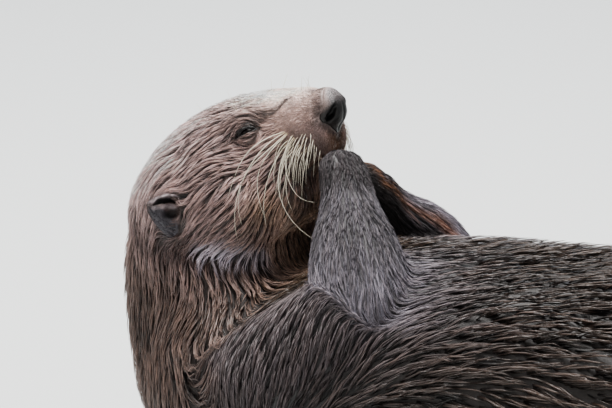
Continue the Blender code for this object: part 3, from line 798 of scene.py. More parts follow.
# the skin goes in by the depth of the coat, and then gets its lids, ears and folds
skinPlaces = skinPlaces - skinNormals * spread(coat[:, 0], 4)[:, None]
inHead = toHead(skinPlaces)
for side in (-1, 1):
    centre, along, upward, outward = eyeFrame(side)
    q = inHead - centre
    far = np.linalg.norm(q, axis=1)
    outer = (q @ outward > -0.001) & (far < 0.016)
    lidRadius = eyePlan["radius"] + eyePlan["lid"]
    pushed = np.where(outer & (far < lidRadius), lidRadius, far)
    depth = inSlit(inHead, side)
    behindSlit = eyePlan["radius"] - eyePlan["slitDeep"] * ease(depth, 0.0, 0.3)
    pushed = np.where(outer & (depth > 0.0), behindSlit, pushed)
    # the lid's rim stands a little proud of the slit, and a fold runs above it
    pushed = pushed + outer * eyePlan["rimProud"] * np.exp(-((depth + 0.22) / 0.18) ** 2) * (depth <= 0)
    fold = inSlit(inHead, side, 1.9)
    pushed = pushed - outer * eyePlan["foldDeep"] * np.exp(-((fold - 0.05) / 0.12) ** 2) * (q @ upward > 0)
    inHead = centre + q / np.maximum(far, 1e-9)[:, None] * pushed[:, None]
# the ears are hollowed under a thin outer rim, with a second rim below
normalInHead = skinNormals @ headAxes
carve = np.maximum(
    earPlan["cleftDeep"] * cleftReach * (1 - ease(cleftShare, 0.4, 1.2)),
    earPlan["bowlDeep"] * (1 - ease(bowlShare, 0.3, 1.1)),
)
rimRise = earPlan["rimProud"] * np.exp(-(np.minimum(*rimShares) ** 2))
earInward = np.stack([np.full(len(inHead), -0.5), -0.86 * sideNow, np.zeros(len(inHead))], axis=1)
inHead = inHead + earInward * (carve * isHead)[:, None] + normalInHead * (rimRise * isHead)[:, None]
folded = facePlan["mouthDeep"] * mouthLine + facePlan["creaseDeep"] * creaseDark
inHead = inHead - normalInHead * folded[:, None]
skinPlaces = fromHead(inHead)
skinPlaces[:, 2] = np.maximum(skinPlaces[:, 2], cadBounds[0][2] + 0.0004)
setPlaces(skin.data, skinPlaces)
writeVectors(skin.data, "markings", skinTints)
# how much light reaches the underfur: little under long wet locks, more where the coat is short
longCoat = ease(coat[:, 1], 0.0045, 0.0120)
openness = 1.0 - 0.72 * longCoat
openness = np.maximum(openness, 0.9 * spread(np.clip(earDark + mouthLine, 0, 1), 1))
# painted shade deepens the underfur in the fold before the ear
openness = openness * (1 - 0.5 * (1 - ease(beforeEar, 0.4, 1.2)) * (kindNow == "head"))
writeVectors(skin.data, "openness", np.repeat(openness[:, None], 3, axis=1))
pick(skin)
bpy.ops.object.shade_smooth()
skinNormals = vertexNormals(skin.data)
print("skin shaped")


def strandMaterial(name, plan):
    # Guard hair: painted highlight along the ridge of each tuft, painted shade at its edges, darker at its
    # root, streaked hair by hair, with the satin shine that water gives.
    material = bpy.data.materials.new(name)
    material.use_nodes = True
    tree = material.node_tree
    shader = tree.nodes["Principled BSDF"]
    marks = addNode(tree, "Attribute", attribute_name="markings")
    along = addNode(tree, "UVMap", uv_map="strand")
    parts = addNode(tree, "SeparateXYZ", {"Vector": along.outputs["UV"]})
    places = addNode(tree, "TexCoord")
    # hairs within a tuft, about 0.2 mm apart, drawn along it and shifted from tuft to tuft
    drawn = addNode(tree, "Mapping", {"Vector": along.outputs["UV"], "Scale": (plan["hairs"], 1.2, 1.0)})
    patchScale = {"Vector": places.outputs["Object"], "Scale": plan["patch"], "Detail": 3.0}
    patches = addNode(tree, "TexNoise", patchScale)
    shift = {0: patches.outputs["Color"], 1: (9.0, 2.0, 0.0), 2: drawn.outputs["Vector"]}
    shifted = addNode(tree, "VectorMath", shift, operation="MULTIPLY_ADD")
    hair = addNode(tree, "TexNoise", {"Vector": shifted.outputs["Vector"], "Scale": 2.4, "Detail": 2.0})
    # each tone multiplies the marking: painted shade and highlight across the tuft, darker to the root along
    # it, from hair to hair, and in patches
    across, edge, streak = parts.outputs["X"], plan["edge"], plan["streak"]
    nearTone = addNode(tree, "MapRange", {"Value": across, "From Max": 0.5, "To Min": edge, "To Max": 1.0})
    farTone = addNode(tree, "MapRange", {"Value": across, "From Min": 0.5, "To Min": 1.0, "To Max": edge})
    ridge = addNode(tree, "Math", {0: nearTone.outputs[0], 1: farTone.outputs[0]}, operation="MINIMUM")
    rootDark = {"Value": parts.outputs["Y"], "From Max": 0.6, "To Min": plan["root"], "To Max": 1.0}
    lengthTone = addNode(tree, "MapRange", rootDark)
    hairTone = addNode(tree, "MapRange", {"Value": hair.outputs["Fac"], "From Min": 0.3, "From Max": 0.7})
    hairTone.inputs["To Min"].default_value = 1.0 - streak
    hairTone.inputs["To Max"].default_value = 1.0 + streak * 0.8
    patchTone = addNode(tree, "MapRange", {"Value": patches.outputs["Fac"], "From Min": 0.3, "From Max": 0.7})
    patchTone.inputs["To Min"].default_value = 0.8
    patchTone.inputs["To Max"].default_value = 1.17
    tone = ridge
    for other in (lengthTone, hairTone, patchTone):
        tone = addNode(tree, "Math", {0: tone.outputs[0], 1: other.outputs[0]}, operation="MULTIPLY")
    tint = {"Vector": marks.outputs["Vector"], "Scale": tone.outputs[0]}
    colour = addNode(tree, "VectorMath", tint, operation="SCALE")
    tree.links.new(colour.outputs["Vector"], shader.inputs["Base Color"])
    gloss = addNode(tree, "MapRange", {"Value": hair.outputs["Fac"]})
    gloss.inputs["To Min"].default_value = plan["rough"] - 0.08
    gloss.inputs["To Max"].default_value = plan["rough"] + 0.12
    tree.links.new(gloss.outputs[0], shader.inputs["Roughness"])
    bump = addNode(tree, "Bump", {"Height": hair.outputs["Fac"], "Strength": 0.45, "Distance": 0.0004})
    tree.links.new(bump.outputs["Normal"], shader.inputs["Normal"])
    shader.inputs["IOR"].default_value = 1.5
    shader.inputs["Specular IOR Level"].default_value = plan["shine"]
    return material


def skinMaterial(name, plan):
    # The underfur close to the skin: the coat's own markings, with painted shade under the long coat, where
    # the wet pile opens, and nearly as light as the tufts where the coat is short.
    material = bpy.data.materials.new(name)
    material.use_nodes = True
    tree = material.node_tree
    shader = tree.nodes["Principled BSDF"]
    marks = addNode(tree, "Attribute", attribute_name="markings")
    places = addNode(tree, "TexCoord")
    # the short pile is about 1.2 mm between tufts
    pile = addNode(tree, "TexNoise", {"Vector": places.outputs["Object"], "Scale": 900.0, "Detail": 3.0})
    patch = addNode(tree, "TexNoise", {"Vector": places.outputs["Object"], "Scale": 120.0, "Detail": 3.0})
    pileTone = addNode(tree, "MapRange", {"Value": pile.outputs["Fac"], "From Min": 0.3, "From Max": 0.7})
    patchTone = addNode(tree, "MapRange", {"Value": patch.outputs["Fac"], "From Min": 0.3, "From Max": 0.7})
    for toned, low, high in ((pileTone, plan["low"], plan["high"]), (patchTone, 0.85, 1.1)):
        toned.inputs["To Min"].default_value = low
        toned.inputs["To Max"].default_value = high
    openness = addNode(tree, "Attribute", attribute_name="openness")
    tone = addNode(tree, "Math", {0: pileTone.outputs[0], 1: patchTone.outputs[0]}, operation="MULTIPLY")
    tone = addNode(tree, "Math", {0: tone.outputs[0], 1: openness.outputs["Fac"]}, operation="MULTIPLY")
    tint = {"Vector": marks.outputs["Vector"], "Scale": tone.outputs[0]}
    colour = addNode(tree, "VectorMath", tint, operation="SCALE")
    tree.links.new(colour.outputs["Vector"], shader.inputs["Base Color"])
    bump = addNode(tree, "Bump", {"Height": pile.outputs["Fac"], "Strength": 0.5, "Distance": 0.0006})
    tree.links.new(bump.outputs["Normal"], shader.inputs["Normal"])
    shader.inputs["Roughness"].default_value = 0.6
    return material


# hairs across a tuft, scale of the patches of tone, how light the painted shade leaves the edge of a tuft,
# how light its root is, how streaky it is, its roughness and its shine
furFinishes = {
    "wetHeadFur": (4.0, 160.0, 0.62, 0.38, 0.22, 0.38, 0.55),  # soaked, glossy, with painted shade between locks
    "shortFaceFur": (2.0, 260.0, 0.93, 0.92, 0.06, 0.60, 0.30),  # short dense plush, even and matt
    "wetBodyFur": (7.0, 60.0, 0.62, 0.45, 0.30, 0.30, 0.50),  # slick and streaky
    "softArmFur": (3.0, 120.0, 0.85, 0.60, 0.18, 0.55, 0.35),  # drier and softer, light to its edges
}
finishKeys = ("hairs", "patch", "edge", "root", "streak", "rough", "shine")
furs = {name: strandMaterial(name, dict(zip(finishKeys, values))) for name, values in furFinishes.items()}
underfur = skinMaterial("underfur", {"low": 0.75, "high": 1.15})
skin.data.materials.clear()
skin.data.materials.append(underfur)

# triangles of the skin, for sowing tufts
skinFaces = np.empty(len(skin.data.polygons) * 3, int)
skin.data.polygons.foreach_get("vertices", skinFaces)
skinFaces = skinFaces.reshape(-1, 3)
corners = skinPlaces[skinFaces]
edgeOne, edgeTwo = corners[:, 1] - corners[:, 0], corners[:, 2] - corners[:, 0]
faceArea = np.linalg.norm(np.cross(edgeOne, edgeTwo), axis=1) / 2
faceKind = kindNow[skinFaces[:, 0]]
faceSide = np.where(corners.mean(axis=1)[:, 1] < 0, -1, 1)
faceCoat = coat[skinFaces].mean(axis=1)
faceTint = skinTints[skinFaces].mean(axis=1)
faceFlow = unit(flow[skinFaces].mean(axis=1))
faceNormal = unit(skinNormals[skinFaces].mean(axis=1))
faceInHead = toHead(corners.mean(axis=1))
skinTree = BVHTree.FromPolygons(skinPlaces.tolist(), skinFaces.tolist())
# no tufts in the hollows of the ears, on the nose pad, in the mouth's line or over the eyes
bareFace = (earDark[skinFaces].mean(axis=1) > 0.35) & np.isin(faceKind, ["ear", "head"])
bareFace |= padShare(faceInHead) > 0.55
bareFace |= mouthLine[skinFaces].mean(axis=1) > 0.5
for side in (-1, 1):
    bareFace |= inSlit(faceInHead, side, 1.12) > 0
print("skin ready for fur, area", round(float(faceArea.sum()), 3))


def nearestOnSkin(places):
    # the nearest places on the skin and the triangles that they lie in
    found = [skinTree.find_nearest(Vector(p)) for p in places.tolist()]
    return np.array([f[0] for f in found]), np.array([f[2] for f in found])


def sow(wanted, spacing, crowding, rng):
    # scatters roots over wanted faces, about crowding of them for each square of the spacing
    faces = np.flatnonzero(wanted)
    expected = faceArea[faces] * crowding / np.maximum(spacing[faces], 1e-5) ** 2
    count = rng.poisson(expected)
    chosen = np.repeat(faces, count)
    a, b = rng.random(len(chosen)), rng.random(len(chosen))
    flip = a + b > 1
    a, b = np.where(flip, 1 - a, a), np.where(flip, 1 - b, b)
    c = corners[chosen]
    places = c[:, 0] + (c[:, 1] - c[:, 0]) * a[:, None] + (c[:, 2] - c[:, 0]) * b[:, None]
    return places, chosen


def walk(places, faces, lengths, steps, turns):
    # follows the lie of the coat over the skin; turns swings each path a little
    path, normals = [places], [faceNormal[faces]]
    for _ in range(steps):
        heading = faceFlow[faces]
        aside = np.cross(normals[-1], heading)
        heading = unit(heading + aside * turns[:, None])
        reach = path[-1] + heading * (lengths / steps)[:, None]
        place, faces = nearestOnSkin(reach)
        path.append(place)
        normals.append(faceNormal[faces])
    return np.stack(path, axis=1), unit(np.stack(normals, axis=1))


bakePlan = {"margin": 0.004, "patch": 0.003}  # of the OFBake map


def toSquare(flat):
    # stretches flat places to fill the map up to its margin
    low, high = flat.min(axis=0), flat.max(axis=0)
    room = 1 - 2 * bakePlan["margin"]
    return bakePlan["margin"] + room * (flat - low) / np.maximum(high - low, 1e-9)


def unwrapRound(places, middle, axis, upright):
    # the skin's own shape unrolled: round an axis, and along it
    aside = np.cross(axis, upright)
    off = places - middle
    around = np.arctan2(off @ aside, off @ upright)
    return toSquare(np.stack([around, off @ axis], axis=1))


def strandMesh(name, path, normals, half, ridge, tints, tones, laid):
    # one joined mesh of closed, three-sided, pointed tufts; tones, painted shade and highlight, darken or
    # lighten each ring of a tuft
    count, rings = path.shape[0], path.shape[1] - 1
    forward = unit(np.gradient(path, axis=1))
    aside = unit(np.cross(normals, forward))
    up = np.cross(forward, aside)
    left = path[:, :-1] + aside[:, :-1] * half[:, :, None]
    top = path[:, :-1] + up[:, :-1] * ridge[:, :, None]
    right = path[:, :-1] - aside[:, :-1] * half[:, :, None]
    tube = np.stack([left, top, right], axis=2).reshape(count, rings * 3, 3)
    points = np.concatenate([tube, path[:, -1:]], axis=1)
    points[:, :, 2] = np.maximum(points[:, :, 2], cadBounds[0][2] + 0.0002)
    each = rings * 3 + 1
    loops, starts, at = [], [], 0
    for ring in range(rings - 1):
        for a in range(3):
            b = (a + 1) % 3
            loops += [3 * ring + a, 3 * ring + b, 3 * ring + 3 + b, 3 * ring + 3 + a]
            starts.append(at)
            at += 4
    last = 3 * (rings - 1)
    for face in [(0, 2, 1)] + [(last + a, last + (a + 1) % 3, last + 3) for a in range(3)]:
        loops += list(face)
        starts.append(at)
        at += 3
    loops, starts = np.array(loops), np.array(starts)
    numbers = np.arange(count)[:, None]
    mesh = bpy.data.meshes.new(name)
    mesh.vertices.add(count * each)
    mesh.vertices.foreach_set("co", points.ravel())
    mesh.loops.add(count * len(loops))
    corner = (loops + numbers * each).ravel()
    mesh.loops.foreach_set("vertex_index", corner)
    mesh.polygons.add(count * len(starts))
    mesh.polygons.foreach_set("loop_start", (starts + numbers * len(loops)).ravel())
    mesh.update(calc_edges=True)
    mesh.polygons.foreach_set("use_smooth", np.ones(len(mesh.polygons), bool))
    ringAt = np.repeat(np.linspace(0, 1, rings + 1)[:-1], 3)
    along = np.concatenate([ringAt, [1.0]])
    across = np.concatenate([np.tile([0.0, 0.5, 1.0], rings), [0.5]])
    strandUv = np.stack([across, along], axis=1)
    uv = mesh.uv_layers.new(name="strand")
    uv.data.foreach_set("uv", np.tile(strandUv, (count, 1))[corner].ravel())
    patch = laid[:, None, :] + (strandUv - 0.5)[None] * bakePlan["patch"]
    bakeUv = mesh.uv_layers.new(name="OFBake")
    bakeUv.data.foreach_set("uv", patch.reshape(-1, 2)[corner].ravel())
    toneHere = np.concatenate([np.repeat(tones[:, :-1], 3, axis=1), tones[:, -1:]], axis=1)
    shaded = np.clip(tints[:, None, :] * toneHere[:, :, None], 0.002, 0.95)
    writeVectors(mesh, "markings", shaded.reshape(-1, 3))
    made = bpy.data.objects.new(name, mesh)
    bpy.context.scene.collection.objects.link(made)
    return made


def layStreams(wanted, length, steps, swing, rng):
    # evenly spaced paths over the skin, to which the wet tufts gather into long locks
    spacing = faceCoat[:, 3]
    paths = np.zeros((0, steps + 1, 3))
    target = float((faceArea[wanted] / (length[wanted] * spacing[wanted])).sum()) * 1.15
    for _ in range(6):
        places, faces = sow(wanted, spacing, 2.0, rng)
        order = rng.permutation(len(places))
        places, faces = places[order], faces[order]
        tree = KDTree(paths.shape[0] * (steps + 1) + len(places))
        for place in paths.reshape(-1, 3).tolist():
            tree.insert(place, 0)
        tree.balance()
        taken = []
        apart = spacing[faces] * 0.72
        for number, place in enumerate(places.tolist()):
            if len(taken) >= target * 0.4:
                break
            if paths.shape[0] and tree.find(place)[2] < apart[number]:
                continue
            toTaken = np.linalg.norm(places[taken] - places[number], axis=1)
            if taken and toTaken.min() < spacing[faces[number]]:
                continue
            taken.append(number)
        if not taken:
            break
        turns = rng.normal(0, swing, len(taken))
        more, _ = walk(places[taken], faces[taken], length[faces[taken]], steps, turns / steps * 4)
        paths = np.concatenate([paths, more])
    return paths


def toLocks(roots, streams):
    # the lock nearest to each root, the root's place along it in steps, how far aside it lies and
    # the length of a step there
    each = streams.shape[1]
    knots = streams.reshape(-1, 3)
    tree = KDTree(len(knots))
    for number, place in enumerate(knots.tolist()):
        tree.insert(place, number)
    tree.balance()
    knot = np.array([tree.find(p)[1] for p in roots.tolist()])
    mine, at = knot // each, knot % each
    way = np.gradient(streams, axis=1)[mine, at]
    stepLength = np.maximum(np.linalg.norm(way, axis=1), 1e-6)
    offset = roots - knots[knot]
    ahead = np.sum(offset * way, axis=1) / stepLength**2
    return mine, at + np.clip(ahead, -0.6, 0.6), offset - way * ahead[:, None], stepLength


def combTufts(roots, rootFaces, streams, locks, plan, rng):
    # walks every tuft over the skin, draws it to its lock, then waves and lifts it
    mine, start, aside, stepLength = locks
    steps, streamSteps = plan["steps"], streams.shape[1] - 1
    sizes = faceCoat[rootFaces]
    length = sizes[:, 1] * rng.uniform(0.7, 1.15, len(roots))
    path, normals = walk(roots, rootFaces, length, steps, rng.normal(0, 0.05, len(roots)))
    s = np.linspace(0, 1, steps + 1)[None, :]
    reach = start[:, None] + s * (length / stepLength)[:, None]
    held = np.clip(streamSteps + 0.4 - reach, 0, 1)
    reach = np.clip(reach, 0, streamSteps - 1e-6)
    low = reach.astype(int)
    part = (reach - low)[:, :, None]
    guide = streams[mine[:, None], low] * (1 - part) + streams[mine[:, None], low + 1] * part
    near = 1 - ease(np.linalg.norm(aside, axis=1) / sizes[:, 3], 0.75, 1.1)
    pull = (sizes[:, 4] * near)[:, None] * plan["pull"] * np.minimum(s * 1.6, 1.0) ** 1.1 * held
    path = path + (guide + aside[:, None, :] * plan["loose"] - path) * pull[:, :, None]
    across = np.cross(normals, unit(np.gradient(path, axis=1)))
    bends, phase = rng.uniform(2.5, 5.5, (len(roots), 1)), rng.uniform(0, 6.28, (len(roots), 1))
    wave = sizes[:, 5][:, None] * np.sin(s * bends + phase)
    path = path + across * (wave * s)[:, :, None]
    apart = np.clip(np.linalg.norm(aside, axis=1) / (sizes[:, 3] * 0.55), 0, 1.4)
    lockLift = rng.normal(1.0, plan["lift"], len(streams))[mine]
    dome = 1 + plan["dome"] * (0.45 - apart**2)
    rise = np.clip(lockLift * dome * rng.normal(1.0, 0.12, len(roots)), 0.15, 1.7)[:, None]
    lift = sizes[:, :1] * rise * s**0.6 - plan["rootDeep"] * (1 - s)
    return path + normals * lift[:, :, None], normals, pull, apart, near


def paintTufts(path, rootFaces, pull, apart, lockTones, plan, rng):
    # the colour of each tuft and the tones along it: painted shade in the grooves between locks, deeper on
    # top, where light from above would fill them, and painted highlight on their ridges
    offAxis = apart[:, None] * (1 - pull * (1 - plan["loose"]))
    bold = ease(faceCoat[rootFaces, 1], 0.0035, 0.0100)
    # painted shade in the grooves is deepest on tufts that face up
    topside = 1 + 0.4 * ease(faceNormal[rootFaces, 2], 0.1, 0.7)
    groove = (plan["groove"] * (0.2 + 0.8 * bold) * topside)[:, None]
    tones = np.clip(1 + groove * (1.5 * np.exp(-((offAxis / 0.5) ** 2)) - 0.75), 0.08, 2.5)
    # painted shade darkens the tufts where they cross a crease of the face
    crossing = mirrored(toHead(path.reshape(-1, 3)))
    for crease in facePlan["creases"]:
        share, _ = toChain(crossing, crease, [facePlan["creaseWide"] * 1.3] * len(crease))
        tones = tones * (1 - 0.72 * (1 - ease(share, 0.2, 1.2)).reshape(tones.shape))
    warm = rng.normal(0, 0.03, len(path))
    tints = faceTint[rootFaces] * np.clip(lockTones, 0.25, 2.2)[:, None]
    tints = np.clip(tints * np.stack([1 + warm, np.ones(len(warm)), 1 - warm], axis=1), 0.002, 0.92)
    return tints, tones, bold


def clearOfFace(path, plan):
    # true for the tufts that keep off the open eyes, the nose pad and, where asked, the ears
    ends = toHead(path[:, 1:].reshape(-1, 3))
    over = padShare(ends) > 0.6
    for side in (-1, 1):
        over |= inSlit(ends, side, 1.02) > 0
    if plan["offEars"]:
        over |= toChain(mirrored(ends), earPlan["middle"], [0.0048] * 3)[0] < 1
    return ~over.reshape(len(path), -1).any(axis=1)


def growCoat(name, wanted, material, plan, unwrap):
    # covers the wanted faces of the skin with tufts, as one piece or a few
    rng = np.random.default_rng(plan["seed"])
    wanted = wanted & ~bareFace
    steps = plan["steps"]
    cover = plan["cover"] * 1.0
    streamLength = faceCoat[:, 1] * plan["streamLength"]
    streams = layStreams(wanted, streamLength, plan["streamSteps"], plan["swing"], rng)
    roots, rootFaces = sow(wanted, np.sqrt(faceCoat[:, 2] * faceCoat[:, 1] * 0.6), cover, rng)
    locks = toLocks(roots, streams)
    path, normals, pull, apart, near = combTufts(roots, rootFaces, streams, locks, plan, rng)
    s = np.linspace(0, 1, steps + 1)
    width = faceCoat[rootFaces, 2][:, None] * rng.uniform(0.7, 1.25, (len(roots), 1))
    half = width * 0.6 * ((0.4 + s) ** 0.4 * (1 - s) ** 0.5)[None, :-1]
    lockTones = rng.normal(1.0, plan["clumpTone"], len(streams))[locks[0]]
    lockTones = lockTones + rng.normal(0, plan["strandTone"], len(roots))
    tints, tones, bold = paintTufts(path, rootFaces, pull, apart, lockTones, plan, rng)
    laid = unwrap(roots)
    # long locks part at their edges, where some tufts are left out
    clear = (apart < 0.85) | (rng.random(len(roots)) > plan["parting"] * bold * near)
    keep = np.flatnonzero(clear & clearOfFace(path, plan))
    order = keep[np.argsort(laid[keep, 1], kind="stable")]
    triangles = 6 * (steps - 1) + 4
    parts = max(1, math.ceil(len(order) / (plan["mostTriangles"] // triangles)))
    for number in range(parts):
        now = order[number * len(order) // parts : (number + 1) * len(order) // parts]
        label = name if parts == 1 else f"{name}{number + 1}"
        tufts = [part[now] for part in (path, normals, half, half * plan["round"], tints, tones)]
        made = strandMesh(label, *tufts, toSquare(laid[now]))
        made.data.materials.append(material)
        furPieces.append(made)
        print("fur", label, len(now), "tufts,", len(now) * triangles, "triangles,", len(streams), "locks")


def unroll(middle, axis, upright):
    # a way to unwrap places round an axis through a middle
    axis = unit(np.asarray(axis, float))
    upright = unit(np.asarray(upright, float) - axis * (np.asarray(upright, float) @ axis))
    return lambda places: unwrapRound(places, middle, axis, upright)


headish = np.isin(faceKind, ["head", "lower_jaw", "eye", "nose"])
ahead = faceInHead[:, 0]
muzzleFaces = headish & (ahead > 0.076) & (faceInHead[:, 2] > -0.03)
frontFaces = headish & ~muzzleFaces & (ahead > 0.02)
backFaces = headish & ~muzzleFaces & (ahead <= 0.02)
headRoll = unroll(headCentre, headAxes[:, 0], headAxes[:, 2])
basePlan = {
    "steps": 3,  # bends in a tuft
    "cover": 3.3,  # layers of tufts over one another
    "pull": 1.0,  # how far a tuft is drawn to its lock
    "loose": 0.26,  # how wide a lock stays at its tip
    "parting": 0.6,  # share of tufts left out between two locks
    "swing": 0.30,  # how far locks turn aside
    "streamLength": 1.8,  # a lock's length in tufts
    "streamSteps": 10,
    "lift": 0.20,  # how unevenly locks stand up
    "dome": 1.15,  # how round a lock is across
    "round": 0.75,  # height of a tuft against half its width
    "rootDeep": 0.00025,
    "groove": 1.25,  # how deep the painted shade between locks is
    "clumpTone": 0.20,
    "strandTone": 0.09,
    "offEars": True,  # leaves out tufts that would lie over an ear
    "mostTriangles": 190000,  # in one piece
}
# what differs from the base for the short, the arms' and each other part of the coat
shortPlan = {"steps": 2, "parting": 0.0, "clumpTone": 0.05, "strandTone": 0.06, "groove": 0.25, "dome": 0.25}
armPlan = {"parting": 0.1, "groove": 0.6, "dome": 0.6}
sideways, upwards, tailwards = (0, 1, 0), (0, 0, 1), (1, 0, 0)
coatParts = [("furMuzzle", muzzleFaces, "shortFaceFur", {**shortPlan, "seed": 21, "cover": 2.0}, headRoll)]
for side, word in ((-1, "Right"), (1, "Left")):
    mine = faceSide == side
    coatParts += [
        ("furFace" + word, frontFaces & mine, "wetHeadFur", {"seed": 22 + side}, headRoll),
        ("furNape" + word, backFaces & mine, "wetHeadFur", {"seed": 32 + side}, headRoll),
    ]
    # piece, kinds of node, fur, what differs, the node it is unrolled round and the axes of that
    earPart = {**shortPlan, "cover": 1.8, "offEars": False}
    footPart = {**shortPlan, "cover": 0.7}
    limbParts = [
        ("Ear", ["ear"], "shortFaceFur", earPart, "ear", sideways, upwards),
        ("Arm", ["forearm"], "softArmFur", {**armPlan, "cover": 2.8}, "forearm", (-0.4, 0, 0.9), sideways),
        ("Paw", ["forepaw"], "softArmFur", {**armPlan, "cover": 2.9}, "forepaw", (-0.4, 0, 0.9), sideways),
        ("UpperArm", ["upper_arm"], "softArmFur", {"cover": 2.4}, "upper_arm", (0.4, 0, 0.9), sideways),
        ("Leg", ["thigh", "lower_leg"], "wetBodyFur", {"cover": 1.9}, "lower_leg", tailwards, upwards),
        ("HindFoot", ["hind_foot"], "wetBodyFur", footPart, "hind_foot", (0.7, 0, 0.6), sideways),
    ]
    for number, (part, partKinds, fur, changes, node, axis, upright) in enumerate(limbParts):
        changes["seed"] = 42 + 10 * number + side
        roll = unroll(boxMiddle(f"{node}_{word.lower()}"), axis, upright)
        coatParts.append(("fur" + part + word, np.isin(faceKind, partKinds) & mine, fur, changes, roll))
neckRoll = unroll(boxMiddle("neck"), (0.3, 0, -1), sideways)
coatParts.append(("furNeck", faceKind == "neck", "wetHeadFur", {"seed": 5, "cover": 2.6}, neckRoll))
for node in ("chest", "belly", "hips", "tail"):
    bodyRoll = unroll(boxMiddle(node), tailwards, upwards)
    bodyPlan = {"seed": 6 + len(node), "cover": 1.65}
    coatParts.append(("fur" + node.title(), faceKind == node, "wetBodyFur", bodyPlan, bodyRoll))

furPieces = []
for name, wanted, fur, changes, roll in coatParts:
    growCoat(name, wanted, furs[fur], {**basePlan, **changes}, roll)
coatTriangles = sum(len(piece.data.loops) - 2 * len(piece.data.polygons) for piece in furPieces)
print("coat has", coatTriangles, "triangles")


# Wet dark eye: a clear cornea over a near-black iris, dulled by the film of water on it.
wetEye = bpy.data.materials.new("wetDarkEye")
wetEye.use_nodes = True
eyeTree = wetEye.node_tree
eyeShader = eyeTree.nodes["Principled BSDF"]
eyePlaces = addNode(eyeTree, "TexCoord")
eyeNoise = addNode(eyeTree, "TexNoise", {"Vector": eyePlaces.outputs["Object"], "Scale": 700.0})
eyeRamp = addNode(eyeTree, "ValToRGB", {"Fac": eyeNoise.outputs["Fac"]})
eyeRamp.color_ramp.elements[0].color = (*linear("#050404"), 1)
eyeRamp.color_ramp.elements[1].color = (*linear("#140e0b"), 1)
eyeTree.links.new(eyeRamp.outputs["Color"], eyeShader.inputs["Base Color"])
eyeShader.inputs["Roughness"].default_value = 0.26
eyeShader.inputs["Specular IOR Level"].default_value = 0.12

eyePieces = []
for side, word in ((-1, "right"), (1, "left")):
    centre, along, upward, outward = eyeFrame(side)
    middle, radius = fromHead(centre), eyePlan["radius"]
    bpy.ops.mesh.primitive_uv_sphere_add(segments=40, ring_count=24, radius=radius, location=middle)
    ball = bpy.context.object
    ball.name = "eyeball" + word.title()
    bpy.ops.object.transform_apply(location=True, rotation=True, scale=True)
    # the cornea bulges a little where the eye looks out
    places = vertexPlaces(ball.data)
    look = headAxes @ outward
    facing = unit(places - middle) @ look
    places = places + np.outer(eyePlan["bulge"] * ease(facing, 0.72, 0.95), look)
    setPlaces(ball.data, places)
    bpy.ops.object.shade_smooth()
    ball.data.materials.append(wetEye)
    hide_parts("eye_" + word)
    eyePieces.append(ball)

print("eyes made")

# The nose pad: bare pebbled leather, flush with the muzzle, with two comma-shaped nostrils
# that open to the sides, raised wings over them and a groove down the middle.
nosePlan = {
    "voxel": 0.00048,
    "proud": 0.0009,
    "hidden": -0.0016,
    "nostril": [
        (0.1165, 0.0072, 0.0058),
        (0.1142, 0.0096, 0.0024),
        (0.1100, 0.0118, -0.0004),
        (0.1066, 0.0128, -0.0006),
    ],
    "nostrilWide": (0.0020, 0.0032, 0.0029, 0.0014),
    "nostrilDeep": 1.9,  # times its width
    "wing": [(0.1165, 0.0058, 0.0085), (0.1150, 0.0098, 0.0068), (0.1100, 0.0124, 0.0050)],
    "wingWide": (0.0024, 0.0028, 0.0020),
    "wingProud": 0.0009,
    "groove": 0.0011,
    "pebble": 0.00010,
    "backDeep": 0.004,  # how far the hidden back reaches from the middle
    "underDeep": 0.0062,  # how far the skin gives way under the pad
}

nosePad = copyOfNodes("nosePad", ["nose"])
finishWith(nosePad, "REMESH", mode="VOXEL", voxel_size=nosePlan["voxel"])
finishWith(nosePad, "SMOOTH", factor=0.5, iterations=10)
padMiddle = fromHead(padPlan["centre"])
ways = unit(vertexPlaces(nosePad.data) - padMiddle)
places, normals = [], []
for way in ways.tolist():
    hit = skinTree.ray_cast(Vector(padMiddle), Vector(way))
    places.append(hit[0])
    normals.append(faceNormal[hit[2]])
places, normals = np.array(places), np.array(normals)
inNose = toHead(places)
share = padShare(inNose)
lift = nosePlan["hidden"] + (nosePlan["proud"] - nosePlan["hidden"]) * share
pitShare, pitWide = toChain(mirrored(inNose), nosePlan["nostril"], nosePlan["nostrilWide"])
sunk = nosePlan["nostrilDeep"] * pitWide * (1 - ease(pitShare, 0.35, 1.15))
wingShare, _ = toChain(mirrored(inNose), nosePlan["wing"], nosePlan["wingWide"])
wing = nosePlan["wingProud"] * np.exp(-(wingShare**2))
groove = nosePlan["groove"] * np.exp(-((inNose[:, 1] / 0.0011) ** 2)) * ease(-inNose[:, 2], -0.009, 0.001)
pebbles = np.sin(inNose[:, 1] * 5200) * np.sin(inNose[:, 2] * 4700 + 1.0) * np.sin(inNose[:, 0] * 4300)
onPad = share > 0.5
lift = lift + onPad * (wing - groove - sunk + nosePlan["pebble"] * pebbles)
# behind the pad the piece closes inside the head
deepWay = np.linalg.norm(places - padMiddle, axis=1)
inside = 1 - ease((ways @ headAxes)[:, 0], -0.15, 0.25)
reach = (deepWay + lift * np.sum(ways * normals, axis=1)) * (1 - inside)
reach = reach + np.minimum(deepWay * 0.5, nosePlan["backDeep"]) * inside
setPlaces(nosePad.data, padMiddle + ways * reach[:, None])
finishWith(nosePad, "SMOOTH", factor=0.5, iterations=2)
pick(nosePad)
bpy.ops.object.shade_smooth()
# painted shade deep in the nostrils
nostrilShade = np.clip(sunk / 0.0024, 0, 1) * onPad
grey = ease(inNose[:, 2], 0.005, 0.016) * (1 - np.exp(-(wingShare**2)) * 0.4)
